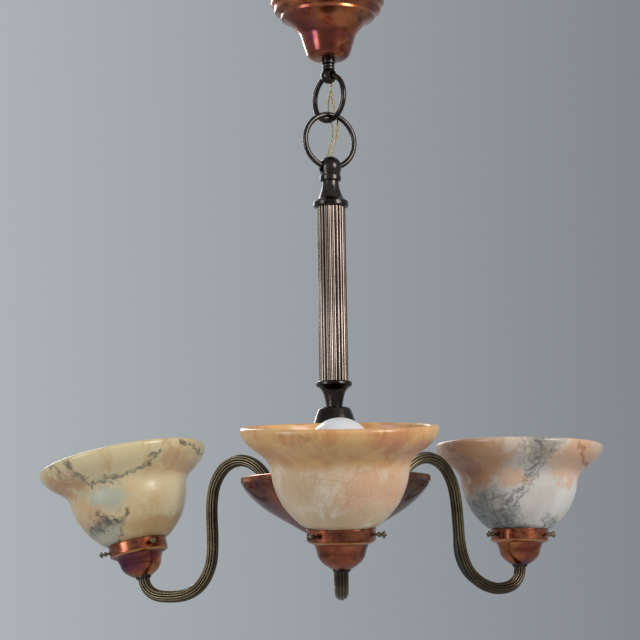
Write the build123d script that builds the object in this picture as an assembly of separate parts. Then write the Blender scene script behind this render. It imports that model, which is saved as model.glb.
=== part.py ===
from build123d import *
import os
from math import acos, asin, atan2, ceil, cos, dist, pi, radians, sin, sqrt, tan

# A three-arm pendant light: alabaster bell shades on reeded brass arms round a
# copper centre bowl, hung from a copper canopy by two bronze rings.
# Millimetres and degrees. The ceiling plane is z = 0 and everything hangs below
# it, on the Z axis. Bearings are counted from -Y, the front, towards +X.

# Fits
slip = 0.2            # between a bore and the rod or nipple in it
running = 0.3         # between pieces that move past each other
ring_play = 0.25      # between a ring's wire and the eye that it turns in

# Curved outlines are drawn in chords this close to the curve, to keep faces few.
chord_depth = 0.3
ring_sides = 12

# Hollow threaded rods and their hexagon nuts
rod_r = 5.0
rod_bore_r = 3.5
nut_across_flats = 14.0
nut_height = 5.0

# Mounting strap
strap_thickness = 2.0
strap_width = 20.0
strap_drop = 8.0      # how far the bridge hangs below the ears
strap_bridge = 64.0   # length of the bridge between the two joggles
strap_joggle = 4.0    # length of each joggle
strap_edge_gap = 3.0  # from the ends of the ears to the canopy's wall
slot_spacing = 88.0
slot_width = 4.6
slot_length = 12.0

# Canopy, from its rim down to its floor
canopy_wall = 1.2
canopy_rim_r = 58.6
canopy_rim_h = 10.0
canopy_brim_r = 55.2
canopy_brim_h = 8.5
canopy_step_r = 48.3
canopy_step_h = 7.5
canopy_ledge_slant = 3.6  # how far each ledge slopes
canopy_flare_r = 45.2
canopy_flare_h = 13.2
canopy_flare_round = 10.0
canopy_neck_r = 29.6
canopy_cup_h = 30.1
canopy_floor_r = 21.3
canopy_floor_round = 9.0

# Terminal block under the strap
block_length = 16.0
block_width = 26.0
block_height = 13.0
block_offset = 20.0
block_corner_r = 2.0
block_ways = 2
block_hole_r = 2.0
block_screw_r = 1.7
block_screw_head_r = 2.6
block_screw_out = 1.5

# Knob that carries the upper ring
knob_collar_r = 7.2
knob_collar_h = 4.8
knob_bead_r = 6.2
knob_bead_h = 3.1
knob_beads = 2
knob_groove = 0.6
knob_ball_r = 8.3
flex_bore_r = 5.35    # bore through both balls, beside the ring's wire
rod_in_knob = 8.0

# Rings
ring_wire_r = 2.8
upper_ring_r = 23.5
upper_ring_turn = -50.7
lower_ring_r = 27.7
lower_ring_turn = 26.0

# Stem, from the ball down
stem_ball_r = 11.5
ball_foot_r = 7.9
ball_foot_h = 8.5     # from the ball's centre to its foot
neck_ring_r = 10.8
neck_ring_h = 6.0
cap_neck_r = 8.2
top_cap_waist_r = 11.0
top_cap_waist_h = 13.2
top_cap_h = 27.3
cap_bead_r = 18.0
cap_bead_h = 5.6
cap_spigot_h = 6.0
tube_length = 179.5
tube_r = 14.7
tube_reeds = 22
tube_reed_depth = 0.9
tube_wall = 1.5       # under the valleys between the reeds
bottom_cap_waist_r = 11.0
bottom_cap_waist_h = 11.6
bottom_cap_h = 26.3

# Bell over the hub
bell_wall = 1.5
bell_shoulder_r = 16.6
bell_shoulder_round = 5.0
bell_mouth_r = 37.0
bell_h = 66.0

# Hub, where the three arms meet
hub_r = 27.0
hub_wall = 4.0
hub_h = 36.0
hub_boss_r = 9.0
hub_boss_out = 4.0

# Centre bowl, its washer and its finial
bowl_wall = 1.2
bowl_rim_r = 95.4
bowl_band_h = 6.6
bowl_band_in = 0.9
bowl_side_r = 71.5
bowl_side_h = 25.0        # from the band down to the change of slope
bowl_side_round = 60.0
bowl_foot_r = 12.0
bowl_foot_round = 5.0
bowl_h = 65.5
bowl_rim_over_arms = 14.0  # above the centre line of the arms' level run
washer_r = 12.0
washer_h = 2.0
finial_r = 8.5
finial_neck_r = 6.8
finial_neck_h = 2.0
finial_collar_r = 9.5
finial_collar_h = 3.0
rod_in_finial = 10.0

# Arms: a reeded tube bent up out of the bowl, over its rim, down, and up again
arm_r = 6.2
arm_bore_r = 3.4
arm_reeds = 12
arm_reed_depth = 0.7
arm_lift_bend_r = 45.0
arm_over_bend_r = 35.0
arm_drop_at = 146.4       # distance from the axis to the straight drop
arm_drop = 60.3
arm_under_bend_r = 44.0
arm_end_bend_r = 20.0
arm_end_straight = 1.5
arm_reach = 229.0         # distance from the axis to the end of an arm
arm_sink = 9.0            # how deep a nipple goes into an arm's level end
arm_end_sink = 4.0        # and into its outer end, short of the bend
arm_nipple_out = 17.0     # how far it stands out of the outer end
# Bent by hand, so the three arms differ a little.
arm_names = ["front", "left", "right"]
arm_bearing = {"front": 1.0, "left": -117.5, "right": 122.5}
arm_lean = {"front": 7.0, "left": 12.0, "right": 1.5}
arm_shortened = {"front": 0.0, "left": 4.0, "right": 6.8}

# Shade gallery on each arm's end, along its own axis
collar_foot_r = 6.9
collar_r = 8.3
collar_h = 2.9
gallery_wall = 1.2
gallery_r = 30.8
gallery_band_h = 11.2
gallery_step_h = 3.6
gallery_cup_r = 24.9
gallery_cup_h = 21.8
gallery_bowl_r = 18.8
gallery_bowl_h = 5.6
gallery_bowl_round = 6.0
gallery_foot_r = 11.0

# Thumbscrews
screw_bearings = {
    "front": [-45.0, 75.0, 195.0],
    "left": [-90.0, 30.0, 150.0],
    "right": [-60.0, 60.0, 180.0],
}
screw_names = ["a", "b", "c"]
screw_r = 1.35
screw_head_r = 3.2
screw_head_h = 6.0
screw_groove = 0.5
screw_out = 6.0           # bare shank between the gallery and the head
screw_below_rim = 6.0

# Lampholder and bulb
holder_foot_r = 9.5
holder_base_r = 14.0
holder_base_h = 9.0
holder_r = 18.6
holder_flare_h = 5.0
holder_h = 53.0
holder_lip_h = 3.0
holder_lip_r = 20.0
shell_wall = 0.7
shell_h = 27.0
bulb_cap_r = 13.1
bulb_cap_h = 28.0
bulb_contact_r = 5.0
bulb_contact_h = 2.4
bulb_r = 29.8
bulb_length = 112.0
bulb_glass_wall = 1.0
bulb_swell_angle = 35.0   # below the bulb's widest circle, where the neck begins

# Shade, with heights from the gallery's rim
shade_wall = 6.0
shade_neck_play = 1.2     # between the shade's neck and the gallery's wall
shade_neck_h = 10.0
shade_foot_r = 31.1
shade_belly_round = 64.3
shade_belly_h = 55.0
shade_waist_h = 56.6
shade_waist_round = 2.0
shade_flare_angle = 42.4
shade_lip_r = 89.7
shade_lip_round = 9.0
shade_h = 90.5
shade_rim_round = 2.8

# Flex through the arms, and the two strands between the canopy and the stem
arm_flex_r = 2.6
cord_sides = 8
strand_r = 0.9
strand_apart = 1.1        # from each strand to the middle of the pair
strand_out = 3.95         # from the axis to the pair, beside the ring's wire
strand_in_rod = 1.6       # the same, inside the hollow rods
strand_in_nipple = 30.0   # how far the strands are drawn into the canopy's nipple
strand_in_stem = 36.0     # and into the tie rod


# Levels that follow from the sizes above
canopy_flare_z = -canopy_rim_h - canopy_brim_h - canopy_step_h
canopy_neck_z = canopy_flare_z - canopy_flare_h
canopy_floor_z = canopy_neck_z - canopy_cup_h
strap_under = -strap_drop - strap_thickness
nipple_top_z = -strap_drop + nut_height
nipple_foot_z = canopy_floor_z - rod_in_knob
knob_neck_z = canopy_floor_z - knob_collar_h - knob_beads * knob_bead_h
knob_z = knob_neck_z - sqrt(knob_ball_r**2 - (knob_bead_r - knob_groove) ** 2)
ring_cross_z = knob_z - 2 * upper_ring_r
lower_ring_top_z = ring_cross_z + 2 * ring_wire_r + ring_play
stem_z = lower_ring_top_z - 2 * lower_ring_r
ball_foot_z = stem_z - ball_foot_h
neck_ring_foot_z = ball_foot_z - neck_ring_h
tube_top_z = neck_ring_foot_z - top_cap_h
tube_foot_z = tube_top_z - tube_length
bell_top_z = tube_foot_z - bottom_cap_h
hub_top_z = bell_top_z - bell_h
hub_foot_z = hub_top_z - hub_h
arm_z = hub_top_z - hub_h / 2
bowl_rim_z = arm_z + bowl_rim_over_arms
bowl_foot_z = bowl_rim_z - bowl_h
bowl_nut_top_z = bowl_foot_z + bowl_wall + nut_height
finial_top_z = bowl_foot_z - washer_h
rod_foot_z = finial_top_z - rod_in_finial
tube_bore_r = tube_r - tube_reed_depth - tube_wall
arm_start = hub_r + hub_boss_out
nut_corner_r = nut_across_flats / sqrt(3)
hub_nut_seat = sqrt((hub_r - hub_wall) ** 2 - nut_corner_r**2) - slip
# Heights along the axis of an arm's end
gallery_step_z = collar_h + gallery_cup_h
gallery_band_z = gallery_step_z + gallery_step_h
gallery_top = gallery_band_z + gallery_band_h
shade_neck_r = gallery_r - gallery_wall - shade_neck_play
shade_bore_r = shade_neck_r - shade_wall
screw_z = gallery_top - screw_below_rim
holder_z = collar_h + gallery_wall
holder_top = holder_z + holder_h
shell_r = bulb_cap_r + running + shell_wall
shell_z = holder_top - shell_h
bulb_z = shell_z + running
bulb_neck_z = bulb_z + bulb_cap_h


def keep(shape, name):
    """Write one sub-part."""
    export_step(shape, f"parts/{name}.step")


def chords(centre, radius, start, turn):
    """Points of an arc, from its start angle in radians round by its turn."""
    step = 2 * acos(1 - min(chord_depth / radius, 0.6))
    count = max(1, ceil(abs(turn) / step))
    angles = [start + turn * i / count for i in range(count + 1)]
    return [(centre[0] + radius * cos(a), centre[1] + radius * sin(a)) for a in angles]


def rounded(corners):
    """A closed outline through corners (x, y) or (x, y, radius of its rounding)."""
    points = []
    count = len(corners)
    for i, corner in enumerate(corners):
        if len(corner) == 2:
            points.append(corner)
            continue
        here = Vector(corner[0], corner[1])
        before = Vector(*corners[i - 1][:2])
        after = Vector(*corners[(i + 1) % count][:2])
        back = (before - here).normalized()
        on = (after - here).normalized()
        half = radians(back.get_angle(on)) / 2
        centre = here + (back + on).normalized() * (corner[2] / sin(half))
        first = here + back * (corner[2] / tan(half)) - centre
        side = 1 if back.X * on.Y - back.Y * on.X < 0 else -1
        turn = side * (pi - 2 * half)
        points += chords((centre.X, centre.Y), corner[2], atan2(first.Y, first.X), turn)
    following = points[1:] + points[:1]
    spaced = [here for here, on in zip(points, following) if dist(here, on) > slip / 10]
    return make_face(Polyline(*spaced, close=True))


def spun(section):
    """Turn a section, drawn as (radius, height), round the Z axis."""
    return revolve(Plane.XZ * section, Axis.Z)


def turned(corners):
    """A solid turned on a lathe, from its outline as (radius, height)."""
    return spun(rounded(corners))


def cup(side, wall, opens):
    """A thin turned shell. Its side runs from the axis to the mouth, which opens
    upwards for +1 and downwards for -1."""
    spare = 4 * wall
    first = side[0]
    last = side[-1]
    beyond = last[1] + opens * spare
    block = rounded([(-spare, first[1]), *side, (last[0], beyond), (-spare, beyond)])
    inside = offset(block, amount=-wall, kind=Kind.INTERSECTION)
    low = min(first[1], last[1])
    high = max(first[1], last[1])
    window = Pos(last[0], (low + high) / 2) * Rectangle(2 * last[0], high - low)
    return spun((block - inside) & window)


def beads(radius, groove, height, count, top):
    """Corners of a stack of beads, from the top down."""
    corners = []
    for i in range(count):
        upper = top - i * height
        lower = upper - height
        corners += [(radius - groove, upper), (radius, upper - height / 3)]
        corners += [(radius, lower + height / 3), (radius - groove, lower)]
    return corners


def bar(radius, low, high):
    return Pos(0, 0, (low + high) / 2) * Cylinder(radius, high - low)


def pipe(radius, bore, low, high):
    return bar(radius, low, high) - bar(bore, low - 1, high + 1)


def nut(top):
    """A hexagon nut on a hollow rod, with its top face at that level."""
    across = RegularPolygon(nut_across_flats / 2, 6, major_radius=False)
    blank = extrude(across, nut_height)
    return Pos(0, 0, top - nut_height) * (blank - bar(rod_r + slip / 2, -1, nut_height + 1))


def ball(radius, level):
    """A ball on the Z axis."""
    half = chords((0, level), radius, -pi / 2, pi)
    return turned([(0, level - radius), *half[1:-1], (0, level + radius)])


def ring_eye(ring_r, reach):
    """What a ring's wire sweeps as it swings in its eye, along X: a hole that
    flares at both ends."""
    inner = ring_r - ring_wire_r - ring_play
    angle = asin(reach / inner)
    flare = chords((0, ring_r), inner, -pi / 2 - angle, 2 * angle)
    section = make_face(Polyline((-reach, 0), *flare, (reach, 0), close=True))
    return revolve(section, Axis.X)


def ring(radius, turn, level):
    """A closed wire ring that hangs upright, its plane turned from the XZ plane."""
    wire = Pos(radius, 0) * RegularPolygon(ring_wire_r, ring_sides)
    hoop = revolve(Plane.XZ * wire, Axis.Z)
    return Pos(0, 0, level) * Rot(0, 0, turn) * Rot(90, 0, 0) * hoop


# Ceiling side ---------------------------------------------------------------

def mounting_strap():
    """A joggled steel strap with two slots for the ceiling screws."""
    wall_r = canopy_rim_r - canopy_wall - strap_edge_gap
    half = sqrt(wall_r**2 - (strap_width / 2) ** 2)
    knee = strap_bridge / 2
    ear = knee + strap_joggle
    soft = strap_thickness
    centre = [
        (-half, -soft / 2),
        (-ear, -soft / 2),
        (-knee, -strap_drop - soft / 2),
        (knee, -strap_drop - soft / 2),
        (ear, -soft / 2),
        (half, -soft / 2),
    ]
    side = trace(FilletPolyline(*centre, radius=soft * 0.8), soft)
    strap = extrude(Plane.XZ * side, strap_width / 2, both=True)
    for x in (-slot_spacing / 2, slot_spacing / 2):
        slot = Pos(x, 0) * SlotOverall(slot_length, slot_width)
        strap -= extrude(slot, strap_drop / 2, both=True)
    return strap - bar(rod_r + slip / 2, strap_under - 1, 0)


def canopy():
    """Spun copper: a rounded cup, a flare, a step, a brim and an upright rim."""
    step_z = -canopy_rim_h - canopy_brim_h - canopy_ledge_slant
    brim_z = -canopy_rim_h - canopy_ledge_slant
    side = [
        (0, canopy_floor_z),
        (canopy_floor_r, canopy_floor_z, canopy_floor_round),
        (canopy_neck_r, canopy_neck_z, canopy_flare_round),
        (canopy_flare_r, canopy_flare_z),
        (canopy_step_r, canopy_flare_z),
        (canopy_step_r, step_z),
        (canopy_brim_r, -canopy_rim_h - canopy_brim_h, canopy_wall * 2),
        (canopy_brim_r, brim_z),
        (canopy_rim_r, -canopy_rim_h, canopy_wall * 2),
        (canopy_rim_r, 0),
    ]
    hole = bar(rod_r + slip, canopy_floor_z - 1, canopy_floor_z + 2 * canopy_wall)
    return cup(side, canopy_wall, 1) - hole


def canopy_nipple():
    """The hollow rod that carries the light from the strap."""
    return pipe(rod_r, rod_bore_r, nipple_foot_z, nipple_top_z)


def canopy_nuts():
    """Over and under the strap's bridge, and on the canopy's floor."""
    tops = [-strap_drop + nut_height, strap_under, canopy_floor_z + canopy_wall + nut_height]
    return Compound(children=[nut(top) for top in tops])


def block_way_places():
    pitch = block_length / block_ways
    first = block_offset - pitch * (block_ways - 1) / 2
    return [first + i * pitch for i in range(block_ways)]


def terminal_block():
    """A porcelain block on the strap's bridge, with its wire ways along Y."""
    foot = strap_under - block_height
    outline = RectangleRounded(block_length, block_width, block_corner_r)
    block = Pos(block_offset, 0, foot) * extrude(outline, block_height)
    for x in block_way_places():
        way = Pos(x, 0, foot + block_height / 2) * Rot(90, 0, 0)
        block -= way * Cylinder(block_hole_r, block_width + 2)
        for y in (-block_width / 4, block_width / 4):
            block -= Pos(x, y, foot) * bar(block_screw_r + slip / 2, -1, block_height / 2)
    return block


def terminal_screws():
    """Cheese-head clamping screws, two to each way of the block."""
    foot = strap_under - block_height
    length = block_height / 2 - block_hole_r
    screws = []
    for x in block_way_places():
        for y in (-block_width / 4, block_width / 4):
            head = bar(block_screw_head_r, -block_screw_out, 0)
            screws.append(Pos(x, y, foot) * (head + bar(block_screw_r, 0, length)))
    return Compound(children=screws)


def canopy_knob():
    """A turned bronze knob: collar, beads, and a ball with the ring's eye."""
    bead_top = canopy_floor_z - knob_collar_h
    neck_r = knob_bead_r - knob_groove
    neck = turned([
        (0, canopy_floor_z),
        (knob_collar_r, canopy_floor_z),
        (knob_collar_r, bead_top + knob_groove),
        *beads(knob_bead_r, knob_groove, knob_bead_h, knob_beads, bead_top),
        (0, knob_neck_z),
    ])
    knob = neck + bar(neck_r, knob_z, knob_neck_z) + ball(knob_ball_r, knob_z)
    eye = Pos(0, 0, knob_z) * Rot(0, 0, upper_ring_turn) * ring_eye(upper_ring_r, knob_ball_r)
    thread = bar(rod_r + slip / 2, nipple_foot_z, canopy_floor_z + 1)
    return knob - eye - thread - bar(flex_bore_r, knob_z - knob_ball_r, nipple_foot_z)


# Stem -----------------------------------------------------------------------

def stem_ball():
    """A ball that tapers to a ring, with the lower ring's eye across it."""
    side_z = stem_z - ball_foot_h / 2
    side_r = sqrt(stem_ball_r**2 - (ball_foot_h / 2) ** 2)
    foot = turned([
        (0, side_z),
        (side_r, side_z),
        (ball_foot_r, ball_foot_z),
        (neck_ring_r, ball_foot_z, 1),
        (neck_ring_r, neck_ring_foot_z, 1),
        (0, neck_ring_foot_z),
    ])
    acorn = foot + ball(stem_ball_r, stem_z)
    eye = Pos(0, 0, stem_z) * Rot(0, 0, lower_ring_turn) * ring_eye(lower_ring_r, stem_ball_r)
    thread = bar(rod_r + slip / 2, neck_ring_foot_z - 1, ball_foot_z)
    return acorn - eye - thread - bar(flex_bore_r, ball_foot_z, stem_z + stem_ball_r)


def stem_top_cap():
    """A bell-mouthed cap that seats on the tube's upper end."""
    cap = turned([
        (0, neck_ring_foot_z),
        (cap_neck_r, neck_ring_foot_z),
        (top_cap_waist_r, tube_top_z + top_cap_waist_h, 20),
        (cap_bead_r - 1, tube_top_z + cap_bead_h),
        (cap_bead_r, tube_top_z + cap_bead_h * 0.7, 1.5),
        (cap_bead_r, tube_top_z + cap_bead_h * 0.3, 1.5),
        (cap_bead_r - 1, tube_top_z),
        (tube_bore_r - slip, tube_top_z),
        (tube_bore_r - slip, tube_top_z - cap_spigot_h),
        (0, tube_top_z - cap_spigot_h),
    ])
    return cap - bar(rod_r + slip, tube_top_z - cap_spigot_h - 1, neck_ring_foot_z + 1)


def fluted_tube():
    """A drawn tube with rounded reeds all round it."""
    step = 360 / tube_reeds
    valley = Vector(tube_r - tube_reed_depth, 0)
    crest = Vector(tube_r, 0)
    reeds = []
    for i in range(tube_reeds):
        start = valley.rotate(Axis.Z, i * step)
        middle = crest.rotate(Axis.Z, (i + 0.5) * step)
        end = valley.rotate(Axis.Z, (i + 1) * step)
        reeds.append(ThreePointArc(start, middle, end))
    section = make_face(reeds) - Circle(tube_bore_r)
    return Pos(0, 0, tube_foot_z) * extrude(section, tube_length)


def stem_bottom_cap():
    """The same bead under the tube, over a tapered neck."""
    cap = turned([
        (0, tube_foot_z + cap_spigot_h),
        (tube_bore_r - slip, tube_foot_z + cap_spigot_h),
        (tube_bore_r - slip, tube_foot_z),
        (cap_bead_r - 1, tube_foot_z),
        (cap_bead_r, tube_foot_z - cap_bead_h * 0.3, 1.5),
        (cap_bead_r, tube_foot_z - cap_bead_h * 0.7, 1.5),
        (cap_bead_r - 3, tube_foot_z - cap_bead_h),
        (bottom_cap_waist_r, tube_foot_z - bottom_cap_waist_h, 12),
        (cap_neck_r, bell_top_z),
        (0, bell_top_z),
    ])
    return cap - bar(rod_r + slip, bell_top_z - 1, tube_foot_z + cap_spigot_h + 1)


def hub_bell():
    """A spun bell that hides the hub."""
    side = [
        (0, bell_top_z),
        (bell_shoulder_r, bell_top_z, bell_shoulder_round),
        (bell_mouth_r, hub_top_z),
    ]
    hole = bar(rod_r + slip, bell_top_z - 2 * bell_wall, bell_top_z + 1)
    return cup(side, bell_wall, -1) - hole


def towards(name, start, end, radius):
    """A level bar from the axis towards one arm."""
    rod = Pos(0, 0, arm_z) * Rot(0, 90, 0) * bar(radius, start, end)
    return Rot(0, 0, arm_bearing[name] - 90) * rod


def hub_body():
    """A cast cup, open below, with a boss for each arm."""
    hub = bar(hub_r, hub_foot_z, hub_top_z - hub_wall)
    hub += bar(bell_mouth_r, hub_top_z - hub_wall, hub_top_z)
    for name in arm_names:
        hub += towards(name, hub_r - hub_wall, arm_start, hub_boss_r)
    hub -= bar(hub_r - hub_wall, hub_foot_z - 1, hub_top_z - hub_wall)
    hub -= bar(rod_r + slip, hub_foot_z, hub_top_z + 1)
    for name in arm_names:
        hub -= towards(name, rod_r, arm_start + 1, rod_r + slip / 2)
    return hub


def tie_rod():
    """The hollow rod that draws the stem, hub and bowl together."""
    return pipe(rod_r, rod_bore_r, rod_foot_z, ball_foot_z)


def tie_rod_nuts():
    """Under the hub's top plate, and on the bowl's floor."""
    return Compound(children=[nut(hub_top_z - hub_wall), nut(bowl_nut_top_z)])


def bowl_spacer():
    """A tube on the rod between the two nuts."""
    spacer_bore_r = rod_r + slip
    high = hub_top_z - hub_wall - nut_height
    return pipe(spacer_bore_r + hub_wall / 2, spacer_bore_r, bowl_nut_top_z, high)


def centre_bowl():
    """Spun copper, with an upright band under its rim."""
    band_z = bowl_rim_z - bowl_band_h
    side = [
        (0, bowl_foot_z),
        (bowl_foot_r, bowl_foot_z, bowl_foot_round),
        (bowl_side_r, band_z - bowl_side_h, bowl_side_round),
        (bowl_rim_r - bowl_band_in, band_z),
        (bowl_rim_r, band_z + bowl_band_in),
        (bowl_rim_r, bowl_rim_z),
    ]
    hole = bar(rod_r + slip, bowl_foot_z - 1, bowl_foot_z + 2 * bowl_wall)
    return cup(side, bowl_wall, 1) - hole


def bowl_washer():
    washer = bar(washer_r, finial_top_z, bowl_foot_z)
    return washer - bar(rod_r + slip, finial_top_z - 1, bowl_foot_z + 1)


def bowl_finial():
    """A turned ball nut under the bowl."""
    collar_z = finial_top_z - finial_collar_h
    ball_z = collar_z - finial_neck_h - finial_r
    neck = turned([
        (0, finial_top_z),
        (finial_collar_r, finial_top_z),
        (finial_collar_r, collar_z, 1),
        (finial_neck_r, collar_z),
        (finial_neck_r, ball_z),
        (0, ball_z),
    ])
    finial = neck + ball(finial_r, ball_z)
    return finial - bar(rod_r + slip / 2, rod_foot_z - 1, finial_top_z + 1)


# Arms -----------------------------------------------------------------------

def arm_path(name):
    """An arm's centre line in the XZ plane, from the hub's boss to its end.
    It returns the edges and the place of the end."""
    lean = radians(arm_lean[name])
    drop_z = arm_z - arm_drop + arm_shortened[name]
    # The lift and the bend over the rim meet in an S.
    over_x = arm_drop_at - arm_over_bend_r
    both = arm_lift_bend_r + arm_over_bend_r
    lift_x = over_x - sqrt(both**2 - arm_lift_bend_r**2)
    turn = asin((over_x - lift_x) / both)
    lift = arc_points(lift_x, arm_z, arm_lift_bend_r, turn)
    # The bend under the drop, and the last one, up to the leaning end.
    low_z = drop_z - arm_under_bend_r
    under_x = arm_drop_at + arm_under_bend_r
    half = arm_under_bend_r * sin(radians(45))
    end_x = arm_reach - arm_end_straight * sin(lean) - arm_end_bend_r * cos(lean)
    rise = arc_points(end_x, low_z, arm_end_bend_r, radians(90) - lean)
    tip = (arm_reach, rise[2][1] + arm_end_straight * cos(lean))
    edges = [
        Line((arm_start, arm_z), lift[0]),
        ThreePointArc(*lift),
        ThreePointArc(lift[2], (over_x, arm_z + arm_over_bend_r), (arm_drop_at, arm_z)),
        Line((arm_drop_at, arm_z), (arm_drop_at, drop_z)),
        ThreePointArc((arm_drop_at, drop_z), (under_x - half, drop_z - half), (under_x, low_z)),
        Line((under_x, low_z), rise[0]),
        ThreePointArc(*rise),
        Line(rise[2], tip),
    ]
    return [Plane.XZ * edge for edge in edges], tip


def arc_points(x, level, radius, turn):
    """Start, middle and end of a level line's bend upwards."""
    return [
        (x + radius * sin(angle), level + radius * (1 - cos(angle)))
        for angle in (0, turn / 2, turn)
    ]


def arm_end(name):
    """The frame of an arm's end, with Z along its gallery."""
    tip = arm_path(name)[1]
    turn = Rot(0, 0, arm_bearing[name] - 90)
    return turn * Pos(tip[0], 0, tip[1]) * Rot(0, arm_lean[name], 0)


def arm_start_plane(x):
    return Plane(origin=(x, 0, arm_z), x_dir=(0, 1, 0), z_dir=(1, 0, 0))


def arm(name):
    """A reeded tube, bent to shape, bored for the flex and tapped at both ends."""
    step = 360 / arm_reeds
    valley = Vector(arm_r - arm_reed_depth, 0)
    crest = Vector(arm_r, 0)
    points = []
    for i in range(arm_reeds):
        points.append(valley.rotate(Axis.Z, i * step))
        points.append(crest.rotate(Axis.Z, (i + 0.3) * step))
        points.append(crest.rotate(Axis.Z, (i + 0.7) * step))
    reeded = make_face(Polyline(*points, close=True))
    section = reeded - RegularPolygon(arm_bore_r, cord_sides)
    tube = sweep(arm_start_plane(arm_start) * section, path=Wire(arm_path(name)[0]))
    tap = Pos(arm_start, 0, arm_z) * Rot(0, 90, 0) * bar(rod_r + slip / 2, -1, arm_sink)
    tube = Rot(0, 0, arm_bearing[name] - 90) * (tube - tap)
    return tube - arm_end(name) * bar(rod_r + slip / 2, -arm_end_sink, 1)


def arm_nipples():
    """Short hollow rods that screw into both ends of each arm."""
    inner_end = hub_nut_seat - nut_height - 1
    inner = Pos(0, 0, arm_z) * Rot(0, 90, 0)
    inner *= pipe(rod_r, rod_bore_r, inner_end, arm_start + arm_sink - slip)
    outer = pipe(rod_r, rod_bore_r, slip - arm_end_sink, arm_nipple_out)
    group = []
    for name in arm_names:
        group.append(Rot(0, 0, arm_bearing[name] - 90) * inner)
        group.append(arm_end(name) * outer)
    return Compound(children=group)


def arm_nuts():
    """One on each arm's nipple, inside the hub."""
    lock = Pos(hub_nut_seat, 0, arm_z) * Rot(0, 90, 0) * nut(0)
    return Compound(children=[Rot(0, 0, arm_bearing[name] - 90) * lock for name in arm_names])


def arm_collars():
    """A turned ring between each arm's end and its gallery."""
    collar = turned([
        (rod_r + slip, 0),
        (collar_foot_r, 0),
        (collar_r, collar_h / 2, 1),
        (collar_r, collar_h),
        (rod_r + slip, collar_h),
    ])
    return Compound(children=[arm_end(name) * collar for name in arm_names])


def arm_flexes():
    """The lead inside each arm, from the hub to the lampholder."""
    inner_end = hub_nut_seat - nut_height
    group = []
    for name in arm_names:
        edges, tip = arm_path(name)
        lean = radians(arm_lean[name])
        top = arm_nipple_out - 1
        tail = Line((inner_end, 0, arm_z), (arm_start, 0, arm_z))
        head_end = (tip[0] + top * sin(lean), 0, tip[1] + top * cos(lean))
        head = Line((tip[0], 0, tip[1]), head_end)
        section = arm_start_plane(inner_end) * RegularPolygon(arm_flex_r, cord_sides)
        lead = sweep(section, path=Wire([tail, *edges, head]))
        group.append(Rot(0, 0, arm_bearing[name] - 90) * lead)
        print(f"arm flex, {name}: {Wire([tail, *edges, head]).length:.1f} mm")
    return Compound(children=group)


# Galleries, lampholders, bulbs and shades, each along its arm's end ----------

def screw_place(name, bearing):
    """The axis of one thumbscrew, outwards, in the frame of the arm's end."""
    return Rot(0, 0, bearing - arm_bearing[name]) * Pos(0, 0, screw_z) * Rot(0, 90, 0)


def shade_gallery(name):
    """A spun copper cup with an upright band, drilled for three thumbscrews."""
    side = [
        (0, collar_h),
        (gallery_foot_r, collar_h),
        (gallery_bowl_r, collar_h + gallery_bowl_h, gallery_bowl_round),
        (gallery_cup_r, gallery_step_z),
        (gallery_r, gallery_band_z, gallery_wall * 2),
        (gallery_r, gallery_top),
    ]
    gallery = cup(side, gallery_wall, 1)
    gallery -= bar(rod_r + slip, collar_h - 1, collar_h + 2 * gallery_wall)
    hole = bar(screw_r + running, gallery_r - 2 * gallery_wall, gallery_r + 1)
    for bearing in screw_bearings[name]:
        gallery -= screw_place(name, bearing) * hole
    return arm_end(name) * gallery


def thumbscrew(name, bearing):
    """A small screw with a grooved barrel head."""
    tip = shade_neck_r + running
    head = gallery_r + screw_out
    groove = head + screw_head_h / 2
    rest = head + screw_head_h
    screw = turned([
        (0, tip),
        (screw_r, tip),
        (screw_r, head),
        (screw_head_r, head),
        (screw_head_r, groove - screw_groove),
        (screw_head_r - screw_groove, groove),
        (screw_head_r, groove + screw_groove),
        (screw_head_r, rest),
        (0, rest),
    ])
    return arm_end(name) * screw_place(name, bearing) * screw


def lampholder(name):
    """A porcelain lampholder: a narrow base, a body and a lip round its mouth."""
    shoulder = holder_z + holder_base_h + holder_flare_h
    body = turned([
        (0, holder_z),
        (holder_foot_r, holder_z),
        (holder_base_r, shoulder - 2 * holder_flare_h),
        (holder_base_r, shoulder - holder_flare_h),
        (holder_r, shoulder),
        (holder_r, holder_top - holder_lip_h),
        (holder_lip_r, holder_top - holder_lip_h),
        (holder_lip_r, holder_top),
        (0, holder_top),
    ])
    body -= bar(shell_r + slip, shell_z, holder_top + 1)
    return arm_end(name) * (body - bar(rod_r + slip, holder_z - 1, shell_z + 1))


def lampholder_shells():
    """The brass inserts that the bulbs screw into."""
    shell = pipe(shell_r, shell_r - shell_wall, shell_z, holder_top)
    return Compound(children=[arm_end(name) * shell for name in arm_names])


def bulb_cap(name):
    """The bulb's cap over its insulated centre contact."""
    rim_z = bulb_z + bulb_contact_h
    cap = turned([
        (0, bulb_z),
        (bulb_contact_r, bulb_z),
        (bulb_cap_r - bulb_contact_h, rim_z),
        (bulb_cap_r, rim_z + bulb_contact_h),
        (bulb_cap_r, bulb_neck_z),
        (0, bulb_neck_z),
    ])
    return arm_end(name) * cap


def bulb_blank(inset):
    """A pear shape, drawn in from the bulb's outer face."""
    angle = radians(bulb_swell_angle)
    radius = bulb_r - inset
    centre = bulb_z + bulb_length - bulb_r
    crown = chords((0, centre), radius, -angle, angle + pi / 2)
    # Below the widest part a hollow curve leads into the neck.
    neck_r = bulb_cap_r - inset
    hollow_r = (radius * cos(angle) - neck_r) / (1 - cos(angle))
    side_z = centre - radius * sin(angle)
    hollow = chords((neck_r + hollow_r, side_z - hollow_r * sin(angle)), hollow_r, pi, -angle)
    return turned([(0, bulb_neck_z), (neck_r, bulb_neck_z), *hollow, *crown[1:-1], crown_top(crown)])


def crown_top(crown):
    return 0, crown[-1][1]


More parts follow.
